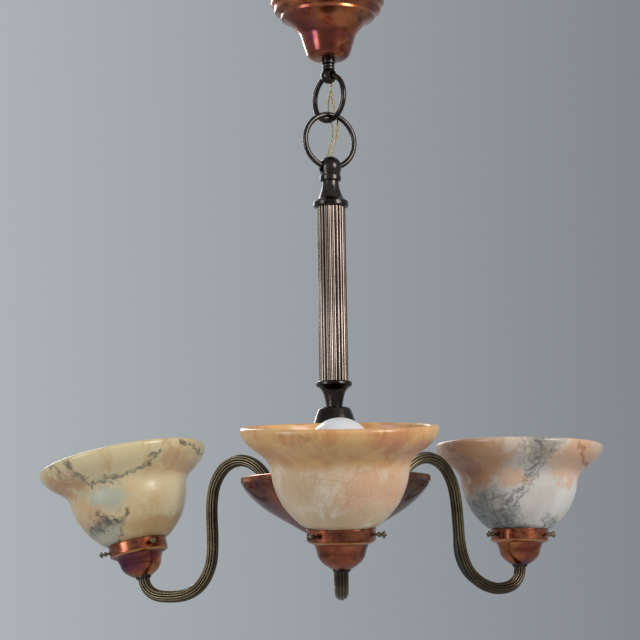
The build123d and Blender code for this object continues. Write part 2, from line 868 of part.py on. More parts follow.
def bulb_glass(name):
    """A frosted bulb, a thin shell that its cap closes."""
    return arm_end(name) * (bulb_blank(0) - bulb_blank(bulb_glass_wall))


def belly_corner(radius, start_r):
    """The corner that rounds into the shade's belly, from where it starts."""
    angle = asin(shade_belly_h / shade_belly_round)
    centre_r = shade_foot_r - shade_belly_round * cos(angle)
    start = acos((start_r - centre_r) / radius)
    level = gallery_top + shade_belly_h - radius * tan(start / 2)
    return centre_r + radius, level, radius


def shade(name):
    """A bell of turned alabaster: neck, foot, round belly, waist and flared lip."""
    belly_r, belly_z, belly_round = belly_corner(shade_belly_round, shade_foot_r)
    inner = belly_corner(shade_belly_round - shade_wall, shade_bore_r)
    slope = radians(shade_flare_angle)
    waist_z = gallery_top + shade_waist_h
    lip_z = waist_z + (shade_lip_r - belly_r) * tan(slope)
    rim_z = gallery_top + shade_h
    neck_z = gallery_top - shade_neck_h
    inside = shade_wall * tan((radians(90) - slope) / 2)
    start_rise = shade_belly_round - shade_wall
    bore_z = gallery_top + shade_belly_h - sqrt(
        start_rise**2 - (shade_bore_r - (inner[0] - start_rise)) ** 2
    )
    section = [
        (shade_neck_r, neck_z),
        (shade_neck_r, gallery_top),
        (shade_foot_r, gallery_top),
        (belly_r, belly_z, belly_round),
        (belly_r, waist_z, shade_waist_round),
        (shade_lip_r, lip_z, shade_lip_round),
        (shade_lip_r, rim_z, shade_rim_round),
        (shade_lip_r - shade_wall, rim_z, shade_rim_round),
        (shade_lip_r - shade_wall, lip_z + inside, shade_lip_round - shade_wall),
        (belly_r - shade_wall, waist_z + inside, shade_waist_round + shade_wall),
        inner,
        (shade_bore_r, bore_z),
        (shade_bore_r, neck_z),
    ]
    return arm_end(name) * turned(section)


# Flex -----------------------------------------------------------------------

def beside(turn, out, side, level):
    """A point beside a ring's plane: out from it, and along it."""
    point = Vector(side * strand_apart, out, level).rotate(Axis.Z, turn)
    return point.X, point.Y, point.Z


def strand_route(side):
    """A strand's free points between the two balls, chosen to pass the rings."""
    if side < 0:
        return [
            (2.2, 5.4, -106),
            (5.0, 8.6, -119),
            (8.6, 9.8, -132),
            (7.8, 8.4, -146),
            (4.6, 6.6, -159),
            (-0.4, 4.4, -171),
        ]
    return [
        (0.6, 1.2, -105),
        (-1.8, 5.2, -118),
        (0.4, 8.4, -130),
        (4.4, 8.0, -143),
        (1.6, 6.0, -156),
        (-2.4, 3.6, -169),
    ]


def middle_of(first, second):
    return tuple((a + b) / 2 for a, b in zip(first, second))


def strand(points):
    """One length of a strand through its points."""
    radii = []
    for before, here, after in zip(points, points[1:], points[2:]):
        back = Vector(*here) - Vector(*before)
        on = Vector(*after) - Vector(*here)
        half_turn = radians(back.get_angle(on)) / 2
        radii.append(0.45 * min(back.length, on.length) / tan(half_turn))
    route = FilletPolyline(*points, radius=radii)
    start = Plane(origin=route @ 0, z_dir=route % 0)
    wire = sweep(start * RegularPolygon(strand_r, cord_sides), path=route)
    print(f"strand {route.length:.1f} mm, tightest arc {min(radii):.1f} mm")
    return wire


def flex():
    """The two strands in three lengths, parted in mid-air at the middles of the
    rings: canopy to upper ring, along the rings, and down to the stem."""
    upper, middle, lower = [], [], []
    for side in (-1, 1):
        free = strand_route(side)
        top = [
            beside(upper_ring_turn, strand_in_rod, side, nipple_foot_z + strand_in_nipple),
            beside(upper_ring_turn, strand_in_rod, side, nipple_foot_z + rod_in_knob / 4),
            beside(upper_ring_turn, strand_out, side, knob_z + ring_wire_r / 2),
            beside(upper_ring_turn, strand_out, side, knob_z - knob_ball_r),
        ]
        end = [
            beside(lower_ring_turn, strand_out, side, stem_z),
            beside(lower_ring_turn, strand_in_rod, side, ball_foot_z - strand_r * 5),
            beside(lower_ring_turn, strand_in_rod, side, ball_foot_z - strand_in_stem),
        ]
        first_cut = middle_of(free[0], free[1])
        second_cut = middle_of(free[3], free[4])
        upper.append(strand([*top, free[0], first_cut]))
        middle.append(strand([first_cut, *free[1:4], second_cut]))
        lower.append(strand([second_cut, *free[4:], *end]))
    return Compound(children=upper), Compound(children=middle), Compound(children=lower)


os.makedirs("parts", exist_ok=True)
keep(mounting_strap(), "mounting_strap")
keep(canopy(), "canopy")
keep(canopy_nipple(), "canopy_nipple")
keep(canopy_nuts(), "canopy_nuts")
keep(terminal_block(), "terminal_block")
keep(terminal_screws(), "terminal_screws")
keep(canopy_knob(), "canopy_knob")
keep(ring(upper_ring_r, upper_ring_turn, knob_z - upper_ring_r), "upper_ring")
keep(ring(lower_ring_r, lower_ring_turn, stem_z + lower_ring_r), "lower_ring")
keep(stem_ball(), "stem_ball")
keep(stem_top_cap(), "stem_top_cap")
keep(fluted_tube(), "fluted_tube")
keep(stem_bottom_cap(), "stem_bottom_cap")
keep(tie_rod(), "tie_rod")
keep(tie_rod_nuts(), "tie_rod_nuts")
keep(hub_bell(), "hub_bell")
keep(hub_body(), "hub_body")
keep(bowl_spacer(), "bowl_spacer")
keep(centre_bowl(), "centre_bowl")
keep(bowl_washer(), "bowl_washer")
keep(bowl_finial(), "bowl_finial")
keep(arm_nipples(), "arm_nipples")
keep(arm_nuts(), "arm_nuts")
keep(arm_collars(), "arm_collars")
keep(arm_flexes(), "arm_flexes")
keep(lampholder_shells(), "lampholder_shells")
for name in arm_names:
    keep(arm(name), f"arm_{name}")
    keep(shade_gallery(name), f"gallery_{name}")
    keep(lampholder(name), f"lampholder_{name}")
    keep(bulb_cap(name), f"bulb_cap_{name}")
    keep(bulb_glass(name), f"bulb_glass_{name}")
    keep(shade(name), f"shade_{name}")
    for letter, bearing in zip(screw_names, screw_bearings[name]):
        keep(thumbscrew(name, bearing), f"thumbscrew_{name}_{letter}")
flex_upper, flex_middle, flex_lower = flex()
keep(flex_upper, "flex_upper")
keep(flex_middle, "flex_middle")
keep(flex_lower, "flex_lower")
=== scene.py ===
from math import asin, atan2, cos, pi, radians, sin, sqrt, tan

import bpy
from mathutils import Matrix, Vector
from mathutils.kdtree import KDTree


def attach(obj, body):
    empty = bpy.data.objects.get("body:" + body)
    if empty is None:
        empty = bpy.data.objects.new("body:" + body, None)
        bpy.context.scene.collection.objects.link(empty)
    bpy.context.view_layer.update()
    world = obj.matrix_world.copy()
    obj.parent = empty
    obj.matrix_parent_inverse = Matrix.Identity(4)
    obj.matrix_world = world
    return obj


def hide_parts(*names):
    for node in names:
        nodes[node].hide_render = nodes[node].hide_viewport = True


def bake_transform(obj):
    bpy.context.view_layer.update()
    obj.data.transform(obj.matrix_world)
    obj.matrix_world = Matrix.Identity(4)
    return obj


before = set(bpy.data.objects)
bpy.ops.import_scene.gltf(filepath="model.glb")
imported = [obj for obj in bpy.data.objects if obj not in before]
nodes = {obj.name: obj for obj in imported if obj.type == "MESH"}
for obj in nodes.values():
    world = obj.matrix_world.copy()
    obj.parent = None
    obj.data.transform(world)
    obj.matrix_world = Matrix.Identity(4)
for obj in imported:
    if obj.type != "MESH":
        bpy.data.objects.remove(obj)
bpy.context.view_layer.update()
mm = 0.001


# Studio ---------------------------------------------------------------------
# A grey photographer's backdrop with painted shade that darkens it to the right,
# a pale floor far below the light, and three softboxes: a key at the right, a
# fill at the left and a strip behind. The camera stands low in front and looks
# slightly up.
camera_place = (0.0, -2.090, -0.634)
camera_pitch = 7.98
camera_turn = 0.36
camera_roll = -0.94
camera_lens = 116.8
backdrop_left = (0.412, 0.445, 0.462)
backdrop_right = (0.223, 0.238, 0.262)
backdrop_reach = 0.16
ambient_colour = (0.80, 0.83, 0.88)
ambient_strength = 0.42
light_middle = (0, 0, -0.42)
floor_radius = 7
floor_height = -1.9


def turned_about(degrees, axis):
    return Matrix.Rotation(radians(degrees), 4, axis)


def place_camera():
    bpy.ops.object.camera_add(location=camera_place)
    camera = bpy.context.object
    camera.name = "photographer"
    camera.data.lens = camera_lens
    camera.data.sensor_width = 36
    camera.data.clip_end = 40
    turn = turned_about(camera_turn, "Z") @ turned_about(90 + camera_pitch, "X")
    turn = turn @ turned_about(camera_roll, "Z")
    camera.matrix_world = Matrix.Translation(camera_place) @ turn
    bpy.context.scene.camera = camera


def softbox(name, place, size, power, colour):
    bpy.ops.object.light_add(type="AREA", location=place)
    lamp = bpy.context.object
    lamp.name = name
    lamp.data.shape = "RECTANGLE"
    lamp.data.size, lamp.data.size_y = size
    lamp.data.energy = power
    lamp.data.color = colour
    aim = Vector(light_middle) - Vector(place)
    lamp.rotation_euler = aim.to_track_quat("-Z", "Y").to_euler()


place_camera()
softbox("key_softbox", (1.75, -1.55, 0.35), (0.9, 1.3), 34, (1.0, 0.98, 0.95))
softbox("fill_softbox", (-1.9, -1.2, -0.2), (0.8, 1.4), 15, (0.94, 0.97, 1.0))
softbox("back_strip", (-0.9, 1.7, 0.5), (0.4, 1.2), 12, (1.0, 1.0, 1.0))

studio = bpy.data.worlds.new("studio")
bpy.context.scene.world = studio
studio.use_nodes = True
air = studio.node_tree
air.nodes.clear()
direction = air.nodes.new("ShaderNodeTexCoord")
sides = air.nodes.new("ShaderNodeSeparateXYZ")
spread = air.nodes.new("ShaderNodeMapRange")
spread.inputs["From Min"].default_value = -backdrop_reach
spread.inputs["From Max"].default_value = backdrop_reach
# Painted shade: the backdrop darkens from its left colour to its right one.
sweep = air.nodes.new("ShaderNodeMix")
sweep.data_type = "RGBA"
sweep.inputs[6].default_value = (*backdrop_left, 1)
sweep.inputs[7].default_value = (*backdrop_right, 1)
rays = air.nodes.new("ShaderNodeLightPath")
seen = air.nodes.new("ShaderNodeBackground")
felt = air.nodes.new("ShaderNodeBackground")
felt.inputs["Color"].default_value = (*ambient_colour, 1)
felt.inputs["Strength"].default_value = ambient_strength
either = air.nodes.new("ShaderNodeMixShader")
result = air.nodes.new("ShaderNodeOutputWorld")
air.links.new(direction.outputs["Generated"], sides.inputs[0])
air.links.new(sides.outputs["X"], spread.inputs["Value"])
air.links.new(spread.outputs[0], sweep.inputs[0])
air.links.new(sweep.outputs[2], seen.inputs["Color"])
air.links.new(rays.outputs["Is Camera Ray"], either.inputs[0])
air.links.new(felt.outputs[0], either.inputs[1])
air.links.new(seen.outputs[0], either.inputs[2])
air.links.new(either.outputs[0], result.inputs["Surface"])

bpy.context.scene.view_settings.view_transform = "Standard"

bpy.ops.object.select_all(action="DESELECT")
bpy.ops.mesh.primitive_circle_add(vertices=64, radius=floor_radius, fill_type="NGON",
                                  location=(0, 0, floor_height))
floor = bpy.context.object
floor.name = "studio_floor"


# Paints ---------------------------------------------------------------------
# A socket wrapped so that shader sums read as Python, and a finish, which is a
# material being mixed for one of this light's own surfaces.
def join(value, slot):
    if isinstance(value, Signal):
        slot.id_data.links.new(value.socket, slot)
    elif isinstance(value, tuple) and len(value) == 3 and slot.type == "RGBA":
        slot.default_value = (*value, 1)
    else:
        slot.default_value = value


class Signal:
    def __init__(self, socket):
        self.socket = socket

    def sum(self, operation, *values):
        made = self.socket.id_data.nodes.new("ShaderNodeMath")
        made.operation = operation
        for value, slot in zip(values, made.inputs):
            join(value, slot)
        return Signal(made.outputs[0])

    def __add__(self, other):
        return self.sum("ADD", self, other)

    def __radd__(self, other):
        return self.sum("ADD", other, self)

    def __sub__(self, other):
        return self.sum("SUBTRACT", self, other)

    def __rsub__(self, other):
        return self.sum("SUBTRACT", other, self)

    def __mul__(self, other):
        return self.sum("MULTIPLY", self, other)

    def __rmul__(self, other):
        return self.sum("MULTIPLY", other, self)

    def __truediv__(self, other):
        return self.sum("DIVIDE", self, other)

    def __pow__(self, other):
        return self.sum("POWER", self, other)

    def __abs__(self):
        return self.sum("ABSOLUTE", self)

    def between(self, low, high):
        """0 below low, 1 above high, and smooth between them."""
        made = self.socket.id_data.nodes.new("ShaderNodeMapRange")
        made.interpolation_type = "SMOOTHSTEP"
        for value, name in ((self, "Value"), (low, "From Min"), (high, "From Max")):
            join(value, made.inputs[name])
        return Signal(made.outputs[0])


class Finish:
    def __init__(self, name, **fixed):
        self.material = bpy.data.materials.new(name)
        self.material.use_nodes = True
        self.tree = self.material.node_tree
        self.surface = self.tree.nodes["Principled BSDF"]
        self.place = self.node("TexCoord", {}, {}, "Object")
        self.set(**fixed)

    def node(self, kind, settings, inputs, output=0):
        made = self.tree.nodes.new("ShaderNode" + kind)
        for name, value in settings.items():
            setattr(made, name, value)
        for name, value in inputs.items():
            join(value, made.inputs[name])
        return Signal(made.outputs[output])

    def set(self, **values):
        for name, value in values.items():
            join(value, self.surface.inputs[name.replace("_", " ")])

    def noise(self, scale, detail=4.0, roughness=0.55, distortion=0.0, where=None):
        where = where or self.place
        values = {"Vector": where, "Scale": scale, "Detail": detail}
        values.update({"Roughness": roughness, "Distortion": distortion})
        return self.node("TexNoise", {}, values)

    def moved(self, place=(0, 0, 0), turn=(0, 0, 0), scale=(1, 1, 1)):
        values = {"Vector": self.place, "Location": place, "Rotation": turn, "Scale": scale}
        return self.node("Mapping", {}, values)

    def axis(self, letter):
        return self.node("SeparateXYZ", {}, {0: self.place}, letter)

    def mix(self, share, first, second):
        return self.node("Mix", {"data_type": "RGBA"}, {0: share, 6: first, 7: second}, 2)

    def bump(self, height, distance, strength):
        values = {"Height": height, "Distance": distance, "Strength": strength}
        self.set(Normal=self.node("Bump", {}, values))


def tint(red, green, blue):
    """A colour as it looks, from 0 to 255, made linear."""
    def linear(value):
        value /= 255
        return value / 12.92 if value <= 0.04045 else ((value + 0.055) / 1.055) ** 2.4
    return linear(red), linear(green), linear(blue)


def dress(name, *pieces):
    """Gives whole pieces or CAD nodes a material."""
    for piece in pieces:
        piece = nodes[piece] if isinstance(piece, str) else piece
        piece.data.materials.clear()
        piece.data.materials.append(bpy.data.materials[name])


paper = Finish("floor_paper", Roughness=0.9)
paper.set(Base_Color=paper.mix(paper.noise(3.0), tint(186, 190, 192), tint(196, 199, 200)))
dress("floor_paper", floor)


def worn_metal(name, deep, usual, bright, rough, grain=60.0):
    """Toned metal: cloudy patina, fine mottling, and tiny scratches in the shine."""
    metal = Finish(name, Metallic=1.0)
    cloud = metal.noise(grain, 5, 0.6)
    speck = metal.noise(grain * 9, 3, 0.7)
    colour = metal.mix(cloud.between(0.35, 0.62), deep, usual)
    colour = metal.mix(speck.between(0.56, 0.78) * 0.55, colour, bright)
    brushed = metal.moved(turn=(0.3, 0.5, 0.2), scale=(1, 1, 0.12))
    scratch = metal.noise(900, 2, 0.6, where=brushed)
    metal.set(Base_Color=colour, Roughness=rough + 0.16 * (cloud - 0.5) + 0.10 * (scratch - 0.5))
    metal.bump(speck + 0.5 * scratch, 0.12 * mm, 0.5)


# Canopy ---------------------------------------------------------------------
# Sheet copper spun on a lathe: a cup, a hollow flare, two ledges and an upright
# rim. Flame-toned in purple, red and gold under a thin lacquer. The strap,
# nipple, nuts and terminal block inside it keep their CAD shapes.
copper_sheet = 1.1
turned_crease = radians(38)
weld = 0.02 * mm


def softened(outline):
    """Points (r, z) of an outline whose corners may carry a radius to round them."""
    step = radians(9)
    points = []
    count = len(outline)
    for i, corner in enumerate(outline):
        if len(corner) == 2:
            points.append(corner)
            continue
        here, radius = Vector(corner[:2]), corner[2]
        back = (Vector(outline[(i - 1) % count][:2]) - here).normalized()
        on = (Vector(outline[(i + 1) % count][:2]) - here).normalized()
        half = back.angle(on) / 2
        centre = here + (back + on).normalized() * (radius / sin(half))
        first = here + back * (radius / tan(half)) - centre
        last = here + on * (radius / tan(half)) - centre
        start = atan2(first.y, first.x)
        turn = (atan2(last.y, last.x) - start + pi) % (2 * pi) - pi
        steps = max(2, round(abs(turn) / step))
        for k in range(steps + 1):
            angle = start + turn * k / steps
            points.append((centre.x + radius * cos(angle), centre.y + radius * sin(angle)))
    return points


def flowing(points, steps=4):
    """A smooth line through points (r, z)."""
    points = [Vector(p) for p in points]
    held = [2 * points[0] - points[1], *points, 2 * points[-1] - points[-2]]
    line = [points[0]]
    for a, b, c, d in zip(held, held[1:], held[2:], held[3:]):
        for k in range(1, steps + 1):
            t = k / steps
            line.append(0.5 * (2 * b + (c - a) * t + (2 * a - 5 * b + 4 * c - d) * t * t
                               + (3 * b - a - 3 * c + d) * t**3))
    return [(p.x, p.y) for p in line]


def walled(side, wall):
    """A closed outline round a wall of that thickness inside an outer side line."""
    line = [Vector(p) for p in side]
    inner = []
    for i, here in enumerate(line):
        along = (line[min(i + 1, len(line) - 1)] - line[max(i - 1, 0)]).normalized()
        inward = Vector((-along.y, along.x))
        inner.append(here + inward * wall)
    return [*side, *[(max(p.x, 0.0), p.y) for p in reversed(inner)]]


def lathe(name, outline, closed=False, around=96):
    """A piece turned on a lathe from its outline (r, z) in millimetres.

    It keeps the height at which each point was turned as own_height, so that
    a finish can follow the piece's own levels wherever the piece goes.
    """
    bpy.ops.object.select_all(action="DESELECT")
    bpy.ops.mesh.primitive_plane_add(size=mm)
    piece = bpy.context.object
    piece.name = piece.data.name = name
    bpy.ops.object.mode_set(mode="EDIT")
    bpy.ops.mesh.select_all(action="SELECT")
    bpy.ops.mesh.merge(type="CENTER")
    start = outline[0]
    bpy.ops.transform.translate(value=(start[0] * mm, 0, start[1] * mm))
    path = [*outline[1:], start] if closed else outline[1:]
    for before, here in zip(outline, path):
        step = ((here[0] - before[0]) * mm, 0, (here[1] - before[1]) * mm)
        bpy.ops.mesh.extrude_region_move(TRANSFORM_OT_translate={"value": step})
    bpy.ops.mesh.select_all(action="SELECT")
    bpy.ops.mesh.spin(steps=around, angle=2 * pi, center=(0, 0, 0), axis=(0, 0, 1))
    bpy.ops.mesh.select_all(action="SELECT")
    bpy.ops.mesh.remove_doubles(threshold=weld)
    bpy.ops.mesh.normals_make_consistent(inside=False)
    bpy.ops.object.mode_set(mode="OBJECT")
    bpy.ops.object.shade_smooth_by_angle(angle=turned_crease)
    height = piece.data.attributes.new("own_height", "FLOAT", "POINT")
    for vertex, value in zip(piece.data.vertices, height.data):
        value.value = vertex.co.z
    return piece


def settle(piece, matrix):
    """Moves a piece that was made upright at the origin to its place."""
    bpy.ops.object.select_all(action="DESELECT")
    piece.select_set(True)
    bpy.context.view_layer.objects.active = piece
    piece.matrix_world = matrix
    bpy.ops.object.transform_apply(location=True, rotation=True, scale=True)
    return piece


def finished(piece, body, slot, material, *stands_for):
    dress(material, piece)
    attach(piece, body)
    if stands_for:
        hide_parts(*stands_for)


def flamed_copper(name, shift, gold, band_foot=None, painted_shade_x=None):
    """Copper heated until it shows purple, red and straw.

    A band from band_foot up stays plain brown over a straw line, and
    painted_shade_x gives the X between which the colours sink to dark brown, a
    painted shade on that side of the piece.
    """
    copper = Finish(name, Metallic=1.0, Coat_Weight=0.4, Coat_Roughness=0.06)
    where = copper.moved(place=shift, scale=(1, 1, 1.5))
    wide = copper.noise(19, 3, 0.55, 0.7, where)
    fine = copper.noise(95, 5, 0.65, 0.2, where)
    heat = wide * 0.8 + fine * 0.2
    colour = copper.mix(heat.between(0.34, 0.46), tint(116, 58, 82), tint(152, 76, 54))
    colour = copper.mix(heat.between(0.46, 0.56), colour, tint(190, 112, 68))
    colour = copper.mix(heat.between(0.56, 0.68) * gold, colour, tint(228, 174, 98))
    dark = copper.noise(42, 4, 0.6, 0.4, copper.moved(place=(3, 1, 2)))
    colour = copper.mix(dark.between(0.52, 0.70) * 0.75, colour, tint(72, 42, 38))
    # Painted shade: the colours sink to dark brown on the piece's +X side.
    if painted_shade_x:
        colour = copper.mix(copper.axis("X").between(*painted_shade_x) * 0.8, colour, tint(96, 58, 38))
    if band_foot:
        height = copper.node("Attribute", {"attribute_name": "own_height"}, {}, "Fac")
        line = height.between((band_foot - 1.6) * mm, (band_foot - 0.6) * mm)
        colour = copper.mix(line * 0.85, colour, tint(224, 156, 84))
        plain = copper.mix(fine.between(0.4, 0.6), tint(134, 70, 48), tint(178, 104, 72))
        band = height.between(band_foot * mm, (band_foot + 1.2) * mm)
        colour = copper.mix(band, colour, plain)
    copper.set(Base_Color=colour, Roughness=0.16 + 0.18 * dark)
    copper.bump(fine, 0.1 * mm, 0.25)


flamed_copper("canopy_copper", (1.2, 0.4, 0.9), 0.55)
canopy_side = softened([
    (5.1, -69.3), (20.6, -69.3, 9.0), (24.6, -57.0, 30), (29.0, -42.6, 16), (38.0, -31.6, 26),
    (46.6, -25.9, 1.2), (48.3, -25.9, 1.0), (48.3, -22.2, 1.2), (55.0, -18.6, 1.6),
    (55.3, -13.6, 0.8), (58.8, -10.2, 1.8), (58.8, -1.0, 0.5), (57.9, -0.01),
])
canopy = lathe("canopy_spun", walled(canopy_side, copper_sheet), closed=True, around=128)
finished(canopy, "ceiling", "flamed_copper", "canopy_copper", "canopy")

worn_metal("zinc_plate", tint(128, 128, 126), tint(168, 168, 164), tint(206, 206, 204), 0.38)
dress("zinc_plate", "mounting_strap", "canopy_nuts", "canopy_nipple", "tie_rod", "tie_rod_nuts",
      "bowl_spacer", "arm_nipples", "arm_nuts", "terminal_screws")
glaze = Finish("porcelain_glaze", Roughness=0.18, Coat_Weight=0.6, Coat_Roughness=0.05)
glaze.set(Base_Color=glaze.mix(glaze.noise(70, 3), tint(226, 222, 210), tint(240, 238, 230)))
glaze.bump(glaze.noise(300, 2), 0.08 * mm, 0.3)
dress("porcelain_glaze", "terminal_block",
      "lampholder_front", "lampholder_left", "lampholder_right")


# Knob and rings -------------------------------------------------------------
# A turned bronze knob under the canopy carries two plain wire rings, each
# brazed shut and blackened. The knob's ball is drilled for the upper ring, and
# the lower ring goes through the ball on top of the stem.
knob_z = -86.426
stem_z = -182.976
wire_r = 2.8
ring_play = 0.5
eye_reach = 12
upper_ring = {"radius": 23.5, "turn": -50.7, "level": knob_z - 23.5}
lower_ring = {"radius": 27.7, "turn": 26.0, "level": stem_z + 27.7}

worn_metal("black_bronze", tint(48, 44, 42), tint(78, 72, 68), tint(132, 122, 112), 0.24, 70)


def wire_ring(name, radius, turn, level):
    bpy.ops.object.select_all(action="DESELECT")
    bpy.ops.mesh.primitive_circle_add(vertices=24, radius=wire_r * mm, fill_type="NOTHING")
    ring = bpy.context.object
    ring.name = ring.data.name = name
    bpy.ops.object.mode_set(mode="EDIT")
    bpy.ops.mesh.select_all(action="SELECT")
    bpy.ops.transform.rotate(value=pi / 2, orient_axis="X", center_override=(0, 0, 0))
    bpy.ops.transform.translate(value=(radius * mm, 0, 0))
    bpy.ops.mesh.spin(steps=120, angle=2 * pi, center=(0, 0, 0), axis=(0, 0, 1))
    bpy.ops.mesh.select_all(action="SELECT")
    bpy.ops.mesh.remove_doubles(threshold=weld)
    bpy.ops.mesh.normals_make_consistent(inside=False)
    bpy.ops.object.mode_set(mode="OBJECT")
    bpy.ops.object.shade_smooth()
    upright = turned_about(turn, "Z") @ turned_about(90, "X")
    return settle(ring, Matrix.Translation((0, 0, level * mm)) @ upright)


def eye_cut(ball, ring, ball_z):
    """Drills a ball with the bell-mouthed hole that lets its ring swing.

    The hole is turned about the ring's tangent, and goes eye_reach each way.
    """
    bpy.ops.object.select_all(action="DESELECT")
    inner = ring["radius"] - wire_r - ring_play
    swing = asin(eye_reach / inner)
    angles = [swing * k / 6 for k in range(-6, 7)]
    mouth = [(max(ring["radius"] - inner * cos(a), 0.0), inner * sin(a)) for a in angles]
    cutter = lathe("eye_cutter", [(0.0, -eye_reach), *mouth, (0.0, eye_reach)], around=48)
    lying = turned_about(ring["turn"], "Z") @ turned_about(90, "Y")
    settle(cutter, Matrix.Translation((0, 0, ball_z * mm)) @ lying)
    hole = ball.modifiers.new("eye", "BOOLEAN")
    hole.operation = "DIFFERENCE"
    hole.solver = "EXACT"
    hole.object = cutter
    bpy.context.view_layer.objects.active = ball
    bpy.ops.object.modifier_apply(modifier="eye")
    bpy.data.objects.remove(cutter)


def ball_arc(radius, level, start, end, steps=18):
    """Points round a ball, between two angles from its top, in degrees."""
    angles = [radians(start + (end - start) * k / steps) for k in range(steps + 1)]
    return [(max(0.0, radius * sin(a)), level + radius * cos(a)) for a in angles]


ring_upper = wire_ring("ring_upper_wire", **upper_ring)
ring_lower = wire_ring("ring_lower_wire", **lower_ring)
finished(ring_upper, "ring_upper", "ring_bronze", "black_bronze", "upper_ring")
finished(ring_lower, "ring_lower", "ring_bronze", "black_bronze", "lower_ring")

knob = lathe("knob_turned", [
    (0.0, -69.35), *softened([
        (7.1, -69.35), (7.1, -73.4, 0.8), (5.6, -74.2), (6.3, -75.0, 0.5), (6.3, -76.6, 0.5),
        (5.6, -77.4), (6.3, -78.2, 0.5), (6.3, -79.8, 0.5), (5.2, -80.3),
    ]), *ball_arc(8.3, knob_z, 40, 180)], around=64)
eye_cut(knob, upper_ring, knob_z)
finished(knob, "ceiling", "ring_bronze", "black_bronze", "canopy_knob")

stem_ball = lathe("stem_ball_turned", [
    *ball_arc(11.5, stem_z, 0, 108), *softened([
        (10.0, -188.4, 3.0), (7.9, -191.2, 0.8), (10.8, -191.5, 1.4), (10.8, -197.47, 1.4),
        (7.9, -197.47)]), (0.0, -197.47)], around=80)
eye_cut(stem_ball, lower_ring, stem_z)
finished(stem_ball, "pendant", "ring_bronze", "black_bronze", "stem_ball")


# Stem -----------------------------------------------------------------------
# A drawn tube with twenty-two rounded reeds, nickelled and darkened in the
# grooves, between two turned bronze caps with a bead each. A spun bell under
# the lower cap hides the hub where the arms meet.
tube_top, tube_foot = -224.776, -404.276
reeds, per_reed = 22, 8
crest_r, valley_r = 14.7, 13.55
reed_fullness = 0.8
reed_crease = radians(35)
tube_wall = 1.3
bell_wall = 1.3

top_cap = lathe("stem_top_cap_turned", [
    (5.3, -197.48), (8.2, -197.48), *flowing([
        (8.2, -197.9), (8.7, -202.5), (9.9, -207.6), (11.6, -212.2), (13.6, -215.9),
        (16.4, -218.4)]), *softened([(17.3, -218.7), (18.0, -219.6, 1.2), (18.0, -223.6, 1.2),
        (17.0, -224.77), (12.1, -224.77)]), (12.1, -230.7), (5.3, -230.7)], closed=True)
finished(top_cap, "pendant", "ring_bronze", "black_bronze", "stem_top_cap")

bottom_cap = lathe("stem_bottom_cap_turned", [
    (5.3, -398.3), (12.1, -398.3), (12.1, -404.28), *softened([
        (17.2, -404.28), (18.3, -405.4, 1.2), (18.3, -407.9, 1.2), (17.0, -409.3)]),
    *flowing([(15.6, -409.9), (13.8, -411.4), (12.1, -413.8), (10.5, -417.8), (9.3, -422.9),
              (8.4, -427.9), (8.1, -430.5)]), (5.3, -430.5)], closed=True)
finished(bottom_cap, "pendant", "ring_bronze", "black_bronze", "stem_bottom_cap")

nickel = Finish("fluted_nickel", Metallic=1.0)
across, deep = nickel.axis("X"), nickel.axis("Y")
from_axis = (across * across + deep * deep) ** 0.5
crest = from_axis.between((valley_r + 0.2) * mm, (crest_r - 0.2) * mm)
stain = nickel.noise(26, 5, 0.62, 0.4, nickel.moved(scale=(1, 1, 0.35)))
nickel_colour = nickel.mix(stain.between(0.35, 0.65), tint(112, 98, 90), tint(168, 152, 140))
nickel_colour = nickel.mix(stain.between(0.62, 0.74) * 0.5, nickel_colour, tint(104, 66, 54))
nickel.set(Base_Color=nickel.mix(crest, tint(34, 27, 24), nickel_colour))
nickel.set(Roughness=0.36 - 0.22 * crest)
nickel.bump(nickel.noise(700, 2, where=nickel.moved(scale=(1, 1, 0.08))), 0.06 * mm, 0.4)

bpy.ops.object.select_all(action="DESELECT")
bpy.ops.mesh.primitive_circle_add(vertices=reeds * per_reed, radius=crest_r * mm,
                                  fill_type="NOTHING", location=(0, 0, tube_foot * mm))
tube = bpy.context.object
tube.name = tube.data.name = "tube_fluted"
for step in range(per_reed // 2):
    share = sin(pi * step / per_reed) ** reed_fullness
    size = (valley_r + (crest_r - valley_r) * share) / crest_r
    bpy.ops.object.mode_set(mode="EDIT")
    bpy.ops.mesh.select_all(action="DESELECT")
    bpy.ops.object.mode_set(mode="OBJECT")
    for i, vertex in enumerate(tube.data.vertices):
        vertex.select = min(i % per_reed, per_reed - i % per_reed) == step
    bpy.ops.object.mode_set(mode="EDIT")
    bpy.ops.transform.resize(value=(size, size, 1), center_override=(0, 0, tube_foot * mm))
bpy.ops.mesh.select_all(action="SELECT")
tube_length = tube_top - tube_foot
bpy.ops.mesh.extrude_region_move(TRANSFORM_OT_translate={"value": (0, 0, tube_length * mm)})
bpy.ops.object.mode_set(mode="OBJECT")
wall = tube.modifiers.new("wall", "SOLIDIFY")
wall.thickness = tube_wall * mm
wall.offset = -1
bpy.ops.object.mode_set(mode="EDIT")
bpy.ops.mesh.select_all(action="SELECT")
bpy.ops.mesh.normals_make_consistent(inside=False)
bpy.ops.object.mode_set(mode="OBJECT")
bpy.ops.object.modifier_apply(modifier="wall")
bpy.ops.object.shade_smooth_by_angle(angle=reed_crease)
settle(tube, tube.matrix_world.copy())
finished(tube, "pendant", "stem_nickel", "fluted_nickel", "fluted_tube")

# The bell is drawn from the top down, so its wall lies on the other hand.
bell_side = [*softened([(5.3, -430.5), (15.8, -430.5, 4.5), (18.9, -438.6)]), *flowing([
    (20.3, -443.0), (22.0, -448.6), (24.6, -457.5), (28.0, -469.0), (32.2, -482.5), (36.2, -494.6)
]), (37.4, -496.4)]
bell = lathe("hub_bell_spun", walled(bell_side, -bell_wall), closed=True, around=112)
finished(bell, "pendant", "ring_bronze", "black_bronze", "hub_bell")
dress("black_bronze", "hub_body")
